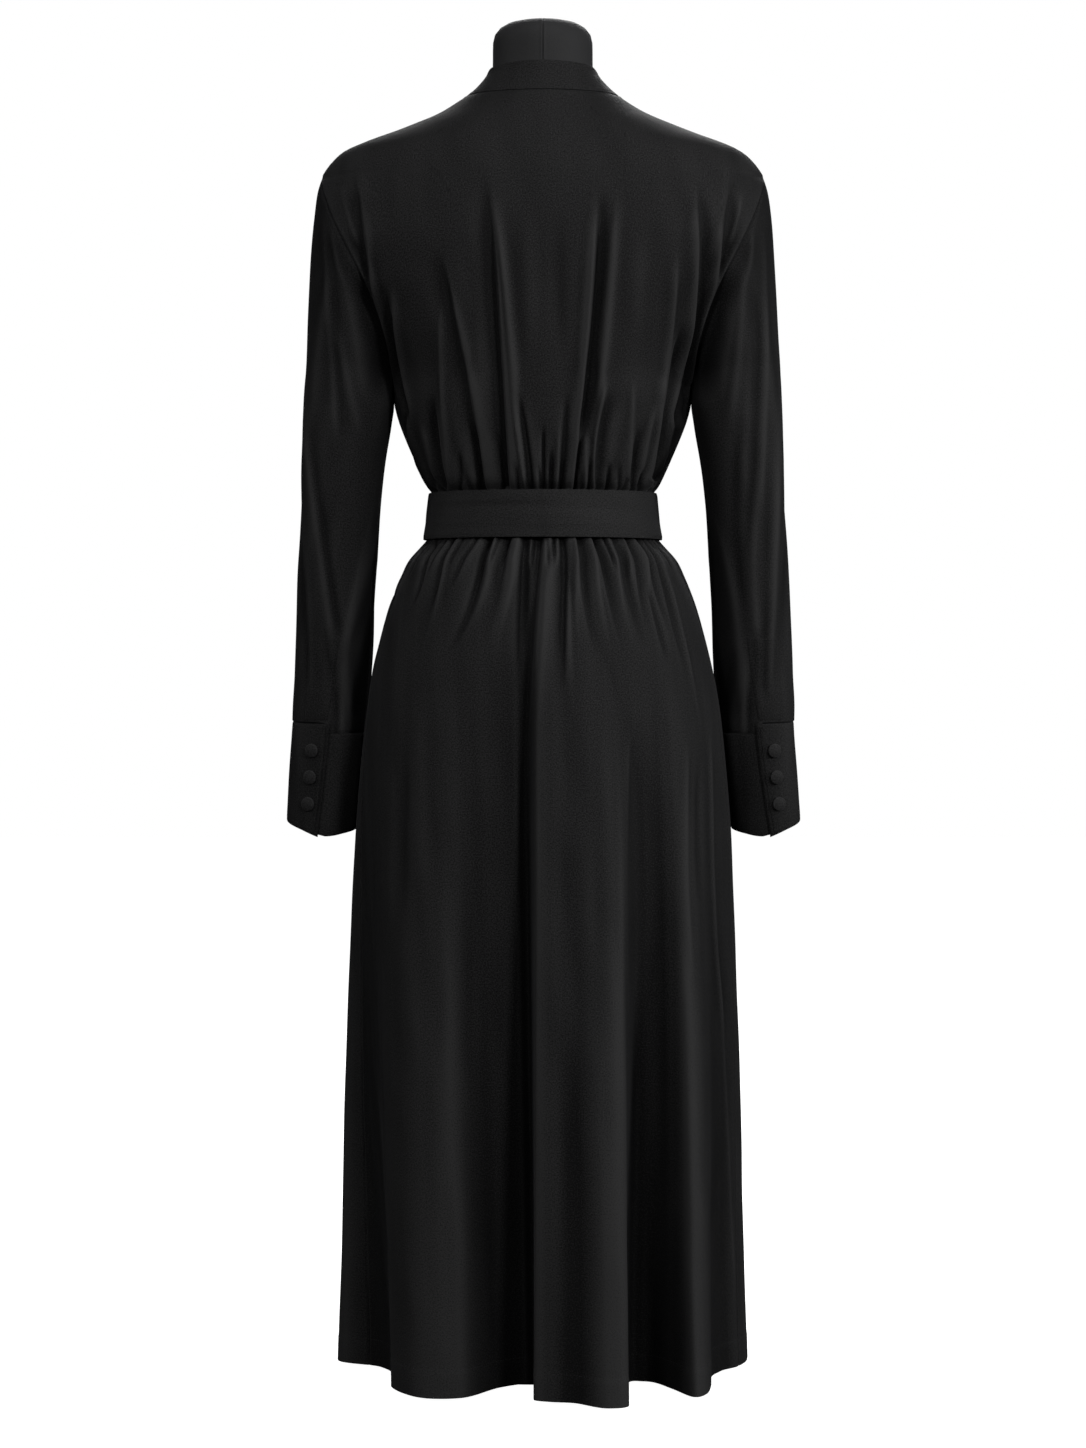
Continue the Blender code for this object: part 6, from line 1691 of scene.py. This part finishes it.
    def cuff(self) -> Cloth:
        """The cuff, wound once round the wrist with its outer end on top behind."""
        down = places(0, 1, 33, [(0, 1.5, 0.04), (1, 1.5, 0.04)])[::-1, None]
        turn = places(0, CUFF.turn[-1], 201, [(CUFF.turn[-1], 2.5, 5.0), (0, 0.5, 6.0)])
        slant = self.cuff_slant * down**1.7 * ramp(turn, 340, CUFF.turn[-1])
        points = self.cuff_point(turn - slant, down + 0 * turn)
        height, girth = self.cuff_height * down + 0 * turn, self.cuff_girth * turn + 0 * down
        edge = np.minimum(height, self.cuff_height - height)
        edge = np.minimum(edge, np.minimum(girth, self.cuff_girth * CUFF.turn[-1] - girth))
        relief = plumped(edge, (0.7, 1.5), (0.45, 4.2, 0.9))
        relief = relief + ripple(girth, self.cuff_height - height, 31, 0.45)
        cloth = Cloth(f"{self.word}_cuff", points[:, ::-1], BAND_SHELL)
        return self.placed(cloth.moved(relief[:, ::-1] - 0.4, cloth.normals))

    def strip(self) -> Cloth:
        """The placket strip on the sleeve above the cuff."""
        first, last, low, high = self.placket
        z = places(low, high, 61, [(high, 1.0, 3)])[:, None]
        part = np.linspace(0, 1, 31)[None, :]
        turn = (last - (last - first + self.placket_lean * (z - low)) * (1 - part)) / 360
        cloth = Cloth("", self.point(turn + 0 * z, z + 0 * turn))
        edge = np.minimum((z - low), (high - z)) + 0 * turn
        edge = np.minimum(edge, np.minimum(part, 1 - part) * (last - first) * 0.66 + 0 * z)
        plump = 0.55 + plumped(edge, (0.25, 0.9), (0.1, 2.6, 0.6))
        plump = plump - 0.3 * ramp(z, high - 12, high) - 0.3 * ramp(part, 0.85, 1)
        outer = cloth.points + plump[..., None] * cloth.calm_normals()
        return self.placed(Cloth(f"{self.word}_placket", outer, self.placket_shell))

    def buttons(self, wardrobe: Wardrobe) -> None:
        """Three covered buttons: cloth drawn over a dome and tucked under its rim, with painted light and
        shade in their colour.
        """
        radius = self.button_radius
        wide, middle, high = self.button_lip
        lip = np.radians(np.linspace(-80, 70, 9))
        edge = [(radius - wide + wide * math.cos(a), middle + high * math.sin(a)) for a in lip]
        inset, start = self.dome_start
        rise, part = self.button_height - start, np.linspace(0.93, 0, 10)
        dome = [(r * (radius - inset), start + rise * (1 - r**2)) for r in part]
        under = [(0.0, 0.0), (0.3 * radius, 0.0), (0.34 * radius, 0.35), (0.8 * radius, 0.45)]
        profile = np.array(under + edge + dome)
        # Painted shading in each ring's colour: painted shade under the button and on the lower lip, a
        # painted highlight on the upper lip of its rim and a lighter painted face on the dome.
        shine = np.array([-1.4] * (len(under) + 4) + [1.6] * 5 + [0.75] * len(dome))
        shine = np.concatenate([np.repeat(shine[1:-1], self.button_sides), shine[[0, -1]]])
        polar, axis = np.linspace(0, 2 * np.pi, self.button_sides, endpoint=False), np.array([0, 0, 1.0])
        ring = np.stack([np.cos(polar), np.sin(polar), 0 * polar], -1)
        rings = profile[1:-1, None, :1] * ring + profile[1:-1, None, 1:] * axis
        ends = profile[[0, -1], 1:] * axis
        top, bottom = self.cuff_at.top(self.button_turn), self.cuff_at.bottom(self.button_turn)
        for number in range(3):
            down = float((top - self.button_top + self.button_pitch * number) / (top - bottom))
            seat, normal = self.seat(down)
            turn = np.array(Vector(normal * self.flip).to_track_quat("Z", "Y").to_matrix()).T
            origin = (seat + 0.35 * normal) * self.flip
            name = f"{self.word}_button_{number + 1}"
            placed = rings @ turn + origin, ends @ turn + origin
            button = closed_rings(name, *placed, wardrobe.crepe, shine)
            wardrobe.keep(button, "black_crepe", f"button_{self.word}_{number + 1}")

    def seat(self, down: float) -> tuple[Array, Array]:
        """Where a button sits on the right cuff, and its outward direction."""
        at, ahead, behind, over, under = (
            self.cuff_point(np.array(self.button_turn + turn), np.array(down + drop))
            for turn, drop in ((0, 0), (7, 0), (-7, 0), (0, 0.05), (0, -0.05))
        )
        return at, unit(np.cross(ahead - behind, over - under))

    def dress(self, wardrobe: Wardrobe) -> None:
        word = self.word
        wardrobe.hang(self.tube(), f"sleeve_{word}", Hold.HUNG, ["bodice_back"])
        cuff, strip = self.cuff(), self.strip()
        wardrobe.hang(cuff, f"cuff_{word}", Hold.FOLDED, [f"sleeve_{word}"])
        wardrobe.hang(strip, f"sleeve_placket_{word}", Hold.FOLDED, [f"sleeve_{word}"])
        end = 9 if self.side > 0 else -10
        lines = cuff.lines(0.1, np.s_[3, 6:-6], np.s_[-4, 6:-6], np.s_[3:-3, end])
        lines += strip.lines(0.1, np.s_[1:-2, 3], np.s_[1:-2, -4], np.s_[-3, 3:-3])
        wardrobe.sew(f"{word}_cuff_stitches", lines)
        self.buttons(wardrobe)


# ---- the belt ----
@dataclass
class Belt:
    """The flat belt, its knot and its two free ends."""

    skirt: Skirt
    thickness: float = 2.0
    knot_angle: float = 207.0
    knot_size: tuple = (21.0, 12.5, 24.5)
    knot_square: float = 4.0
    knot_back: float = 0.2
    knot_clear: float = 3.4
    knot_waist: float = 0.13
    dents: tuple = (
        (1.9, 0.22, 7.5, 1.5), (1.7, 0.12, -8.5, 1.6), (1, -0.3, 0.5, 1.3), (0.9, 0.55, -2.5, 1.2),
        (0.7, 0.1, 13.5, 1.2), (0.6, 0.3, -14.5, 1.3),
    )
    ends: tuple = (("long", 203.0, 0.08, 455.0, 0.0), ("short", 214.0, -0.06, 400.0, 4.0))
    end_width: float = 44.0
    end_clear: float = 3.6
    knot_drop: float = 2.8
    pinch: float = 0.45
    open_at: float = 60.0
    set_at: float = 40.0
    stitch_inset: float = 1.6
    drawn: tuple = (
        (-38, 818, 26, 2.6, 0.55), (-20, 813, 34, 3.4, -0.5), (14, 796, 30, 3, 0.4),
        (30, 809, 30, 3.6, -0.45), (-46, 798, 24, 3, 0.4), (2, 804, 40, 4, 0.3), (150, 812, 30, 3.2, 0.6),
        (165, 800, 26, 3, -0.7), (-130, 812, 26, 3, 0.6), (-120, 799, 30, 3, -0.6),
    )

    def __post_init__(self) -> None:
        """Makes the curves of the belt's sections."""
        self.at = curves(BELT)

    def point(self, angle: Array, z: Array) -> Array:
        """Points of the belt's outer face."""
        radians = np.radians(angle)
        depth = np.where(np.cos(radians) > 0, self.at.back(z), self.at.front(z))
        x, y = oval(radians, self.at.side(z), depth)
        return np.stack([x, -y, z], axis=-1)

    def round(self) -> Cloth:
        """The belt round the waist, two layers with soft edges and a few drawn creases."""
        z = places(BELT_BOTTOM, BELT_TOP, 29, [(BELT_BOTTOM, 1.6, 3), (BELT_TOP, 1.6, 3)])[:, None]
        angle = np.linspace(0, 360, 361)[None, :]
        points = self.point(angle + 0 * z, z + 0 * angle)
        points[:, -1] = points[:, 0]
        edge = np.minimum(z - BELT_BOTTOM, BELT_TOP - z) + 0 * angle
        plump = plumped(edge, (0.5, 0.9), (0.2, self.stitch_inset, 0.7)) - 0.2
        wrapped = (angle + 180) % 360 - 180
        draw = ripple(z + 0 * angle, 2 * wrapped, 41, 0.3)
        for at, height, long, wide, rise in self.drawn:
            draw += rise * bell(wrapped - at, long) * bell(z - height, wide)
        draw = draw * ramp(edge, 0, 4)
        draw[:, -1] = draw[:, 0]
        # The belt's colour is painted lighter all over: painted light, as if more light fell on it.
        cloth = Cloth("belt_crepe", points, self.thickness, z.shape[0], shine=0.4)
        cloth.points = cloth.points + (plump + draw)[..., None] * unit(cloth.normals * LEVEL)
        cloth.points[:, -1] = cloth.points[:, 0]
        cloth.normals = cloth.outward()
        return cloth

    def knot_place(self) -> tuple[Array, Array, Array]:
        """Seat of the knot, the direction along the belt and the outward direction."""
        angle, height = np.array(self.knot_angle), np.array(0.5 * (BELT_TOP + BELT_BOTTOM))
        along = self.point(angle + 0.5, height) - self.point(angle - 0.5, height)
        out = unit(np.array([along[1], -along[0], 0.0]))
        clear = self.knot_back * self.knot_size[1] + self.knot_clear
        return self.point(angle, height) + out * clear, unit(along), out

    def knot(self, wardrobe: Wardrobe) -> None:
        """The knot: a flat wrap drawn tight over the crossing, with creases that run into it."""
        rows, cols = 81, 129
        polar = np.linspace(0.5 * np.pi, -0.5 * np.pi, rows)[:, None]
        turn = np.linspace(0, 2 * np.pi, cols)[None, :]
        ball = np.stack(
            [np.cos(polar) * np.cos(turn), np.cos(polar) * np.sin(turn), np.sin(polar) + 0 * turn], -1
        )
        power = self.knot_square
        ball = ball * np.sum(np.abs(ball) ** power, -1, keepdims=True) ** (-1 / power)
        half_width, half_depth, half_height = self.knot_size
        x, y, z = ball[..., 0] * half_width, ball[..., 1] * half_depth, ball[..., 2] * half_height
        front = ramp(y, -2, 6)
        dent = sum(deep * bell(x - lean * z - at, wide) for deep, lean, at, wide in self.dents)
        waist = 1 - self.knot_waist * bell(z, 11) * (np.abs(x) / half_width)
        x = x * waist
        y = np.maximum(y - front * dent, -self.knot_back * half_depth)
        seat, along, out = self.knot_place()
        points = x[..., None] * -along + y[..., None] * out + z[..., None] * np.array([0, 0, 1.0]) + seat
        calm = np.zeros(points[1:-1, :-1, 0].size + 2)
        knot = closed_rings("knot_wrap", points[1:-1, :-1], points[[0, -1], 0], wardrobe.crepe, calm)
        wardrobe.keep(knot, "black_crepe", "belt_knot")

    def reach(self, angle: float, z: Array, centre: Array, frame: tuple, lean: float) -> Array:
        """How far out a hanging end lies at each height, on the skirt and never swinging back in."""
        along, outward = frame
        probe = np.linspace(angle - 25, angle + 25, 121)
        reach = []
        for height in z:
            ring = self.skirt.point(probe, np.full_like(probe, height), 0.0) - centre
            sideways = ring @ along - lean * (BELT_BOTTOM - height)
            reach.append(np.max((ring @ outward)[np.abs(sideways) < 0.5 * self.end_width + 3]))
        reach = np.maximum.accumulate(np.array(reach)[::-1])[::-1]
        return np.convolve(np.pad(reach, 4, mode="edge"), np.ones(9) / 9, mode="valid")

    def end(self, word: str, angle: float, lean: float, length: float, lift: float) -> Cloth:
        """A free end: it leaves the knot pinched, opens and hangs in soft lengthwise folds."""
        z = places(BELT_BOTTOM - length, BELT_BOTTOM - self.knot_drop, 141, [(BELT_BOTTOM, 2.0, 40)])
        centre = self.skirt.point(np.array(angle), np.array(BELT_BOTTOM - self.set_at), 0.0)
        side = self.skirt.at.side(BELT_BOTTOM - self.set_at)
        front = self.skirt.at.front(BELT_BOTTOM - self.set_at)
        turned = math.radians(angle)
        outward = unit(np.array([math.sin(turned) / side, -math.cos(turned) / front, 0.0]))
        along = np.array([outward[1], -outward[0], 0.0])
        out = self.reach(angle, z, centre, (along, outward), lean)[:, None] + self.end_clear + lift
        drop = (BELT_BOTTOM - z)[:, None]
        opened = self.pinch + (1 - self.pinch) * ramp(drop, self.knot_drop, self.open_at)
        place = np.linspace(-0.5, 0.5, 31)[None, :]
        across = place * self.end_width * opened + lean * drop
        wave = 1.6 * np.cos(place * 3.0 * np.pi + 0.4) * (1 - ramp(drop, 20, 190))
        wave += 0.9 * np.sin(place * 5.0 * np.pi + 1.1) * (1 - ramp(drop, 5, 90))
        wave += 0.9 * np.sin(drop / 47.0 + angle) * place * ramp(drop, 40, 160)
        edge = np.minimum(0.5 - np.abs(place), 1.0) * self.end_width
        edge = np.minimum(edge, drop.max() - drop + 0 * edge)
        wave = np.maximum(wave, -1.2) + plumped(edge, (0.45, 1.3), (0.35, self.stitch_inset, 0.8))
        points = centre + across[..., None] * along + (out + wave)[..., None] * outward
        points[..., 2] = z[:, None]
        cloth = Cloth(f"belt_{word}_end", points, self.thickness)
        if np.mean(cloth.normals @ outward) < 0:
            cloth = Cloth(cloth.name, points[:, ::-1], self.thickness)
        return cloth

    def dress(self, wardrobe: Wardrobe) -> None:
        ring = self.round()
        wardrobe.hang(ring, "belt", Hold.STRETCHED, ["bodice_back", "skirt_back"])
        edges = BELT_BOTTOM + self.stitch_inset, BELT_TOP - self.stitch_inset
        lines = ring.lines(0.08, *(ring.row_at(edge) for edge in edges))
        self.knot(wardrobe)
        for word, angle, lean, length, lift in self.ends:
            strip = self.end(word, angle, lean, length, lift)
            wardrobe.hang(strip, f"belt_end_{word}", Hold.HUNG, ["belt_knot"])
            lines += strip.lines(0.08, np.s_[2:-8, 2], np.s_[2:-8, -3], np.s_[2, 2:-2])
        wardrobe.sew("belt_stitches", lines)


# ---- the form ----
@dataclass
class DressForm:
    """Limbless form with a domed neck cap, covered in jersey that is sewn down its middles."""

    bodice: Bodice
    shoulder: tuple = (1133, 1141, 1150, 1160, 1171, 1183, 1198)
    drop: float = 3.1
    sides: int = 193
    rows: int = 121

    def sections(self) -> Array:
        """Rows of height, half width, back depth and front depth, from the hips up."""
        rows = [list(row) for row in zip(*FORM_BODY)]
        at = self.bodice.at
        for z in self.shoulder:
            depths = float(at.back(z)) - self.drop, float(at.front(z)) - self.drop
            rows.append([z - self.drop, float(at.side(z)) - 1.0, *depths])
        return np.array(rows + [list(row) for row in zip(*FORM_NECK)])

    def torso(self, wardrobe: Wardrobe) -> None:
        """The covered body, closed below and domed above."""
        table = self.sections()
        length = np.concatenate([[0], np.cumsum(np.hypot(*np.diff(table[:, :2], axis=0).T))])
        along = np.linspace(0, length[-1], self.rows)
        z, side, back, front = (Curve(length, column)(along)[:, None] for column in table.T)
        angle = places(0, 360, self.sides, [(0, 3, 2), (180, 3, 2), (360, 3, 2), (90, 1, 2), (270, 1, 2)])
        angle = angle[:-1][None, :]
        radians = np.radians(angle)
        depth = np.where(np.cos(radians) > 0, back, front)
        away = np.minimum(np.abs((angle + 90) % 180 - 90) / 180 * np.pi * depth, 50)
        seam = 0.5 * bell(away - 1.3, 0.9) - 0.7 * bell(away, 0.55)
        x = (side + seam) * np.sin(radians)
        y = -(depth + seam) * np.cos(radians)
        rings = np.stack([x, y, z + 0 * x], axis=-1)
        ends = table[[0, -1], :1] * np.array([0, 0, 1.0])
        wardrobe.keep(
            closed_rings("form_cover", rings, ends, wardrobe.jersey), "black_jersey_cover", "form_torso"
        )

    def stand(self, nodes: dict, wardrobe: Wardrobe) -> None:
        """Enamels the pole and the base, whose shapes stay as they are."""
        for name in ("form_pole", "form_base"):
            for slot in nodes[name].material_slots:
                slot.material = wardrobe.enamel


# ---- the studio ----
@dataclass
class Studio:
    """Pale floor, plain backdrop, soft lights and the camera."""

    distance: float = 3.2
    height: float = 0.679
    focal_pixels: float = 3368.0
    image: tuple = (1086, 1448)
    centre: tuple = (542.75, 650.0)
    floor_half: float = 9.0

    def camera(self) -> None:
        """A level camera behind the dress, with only the shift that the framing needs."""
        data = bpy.data.cameras.new("camera")
        data.sensor_fit, data.sensor_width = "AUTO", 36.0
        tall = max(self.image)
        data.lens = self.focal_pixels / tall * 36.0
        data.shift_x = (0.5 * self.image[0] - self.centre[0]) / tall
        data.shift_y = (self.centre[1] - 0.5 * self.image[1]) / tall
        data.clip_start, data.clip_end = 0.05, 60.0
        made = linked("camera", data)
        made.location = (0.0, -self.distance, self.height)
        made.rotation_euler = (0.5 * math.pi, 0.0, 0.0)
        bpy.context.scene.camera = made

    def panel_light(self, name: str, place: tuple, aim: tuple, size: tuple, power: float) -> None:
        """A soft rectangular light aimed at a point."""
        data = bpy.data.lights.new(name, "AREA")
        data.shape, data.size, data.size_y, data.energy = "RECTANGLE", *size, power
        made = linked(name, data)
        made.location = place
        made.rotation_euler = (Vector(place) - Vector(aim)).to_track_quat("Z", "Y").to_euler()

    def lights(self) -> None:
        """Large soft lights: keys and rims on both sides, one overhead and one in front."""
        for light in (
            ("right_key", (1.75, -3.0, 2.0), (0, 0, 0.8), (0.6, 0.9), 45),
            ("right_rim", (3.3, -0.9, 1.5), (0, 0, 0.8), (0.7, 1.2), 58),
            ("left_key", (-1.2, -3.3, 1.8), (0, 0, 0.75), (0.6, 0.9), 24),
            ("left_rim", (-3.3, -0.9, 1.5), (0, 0, 0.8), (0.7, 1.2), 18),
            ("overhead", (0.1, -1.0, 3.2), (0, 0, 1.1), (1.6, 1.2), 23),
            ("front", (0.2, 2.6, 2.9), (0, 0, 0.7), (1.6, 1.4), 60),
        ):
            self.panel_light(*light)

    def surroundings(self) -> None:
        """A pale floor and an even white world."""
        world = bpy.data.worlds.new("studio")
        world.use_nodes = True
        sky = world.node_tree.nodes["Background"].inputs
        sky["Color"].default_value, sky["Strength"].default_value = (1.0, 1.0, 1.0, 1.0), 1.0
        bpy.context.scene.world = world
        world.cycles_visibility.diffuse = world.cycles_visibility.glossy = False
        paper = PaperFinish(glow=1.0).material()
        square = self.floor_half * np.array([[-1, -1, 0], [1, -1, 0], [1, 1, 0], [-1, 1, 0]])
        floor = mesh_object("floor", square, [np.array([[0, 1, 2, 3]])], paper)
        floor.visible_diffuse = floor.visible_glossy = False
        floor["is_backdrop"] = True

    def build(self) -> None:
        """Sets everything up."""
        self.camera()
        self.lights()
        self.surroundings()
        bpy.context.scene.view_settings.view_transform = "Standard"


def corners(bounds: tuple) -> list[list[float]]:
    """A box as plain lists."""
    return [[float(v) for v in corner] for corner in bounds]


def main() -> None:
    """Dresses the frame."""
    logging.basicConfig(level=logging.INFO, format="%(name)s: %(message)s", stream=sys.stdout)
    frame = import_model()
    solid = corners(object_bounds())
    thread = ThreadFinish().material()
    wardrobe = Wardrobe(
        CrepeFinish().material(),
        JerseyFinish().material(),
        EnamelFinish().material(),
        Stitching(material=thread),
    )
    bodice, skirt = Bodice(), Skirt()
    bodice.dress(wardrobe)
    skirt.dress(wardrobe)
    for side in (1, -1):
        Sleeve(side, bodice).dress(wardrobe)
    Belt(skirt).dress(wardrobe)
    form = DressForm(bodice)
    form.torso(wardrobe)
    form.stand(frame["nodes"], wardrobe)
    Studio().build()
    bpy.context.view_layer.update()
    visual = corners(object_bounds())
    log.info("%d pieces", len(wardrobe.made))


if __name__ == "__main__":
    main()
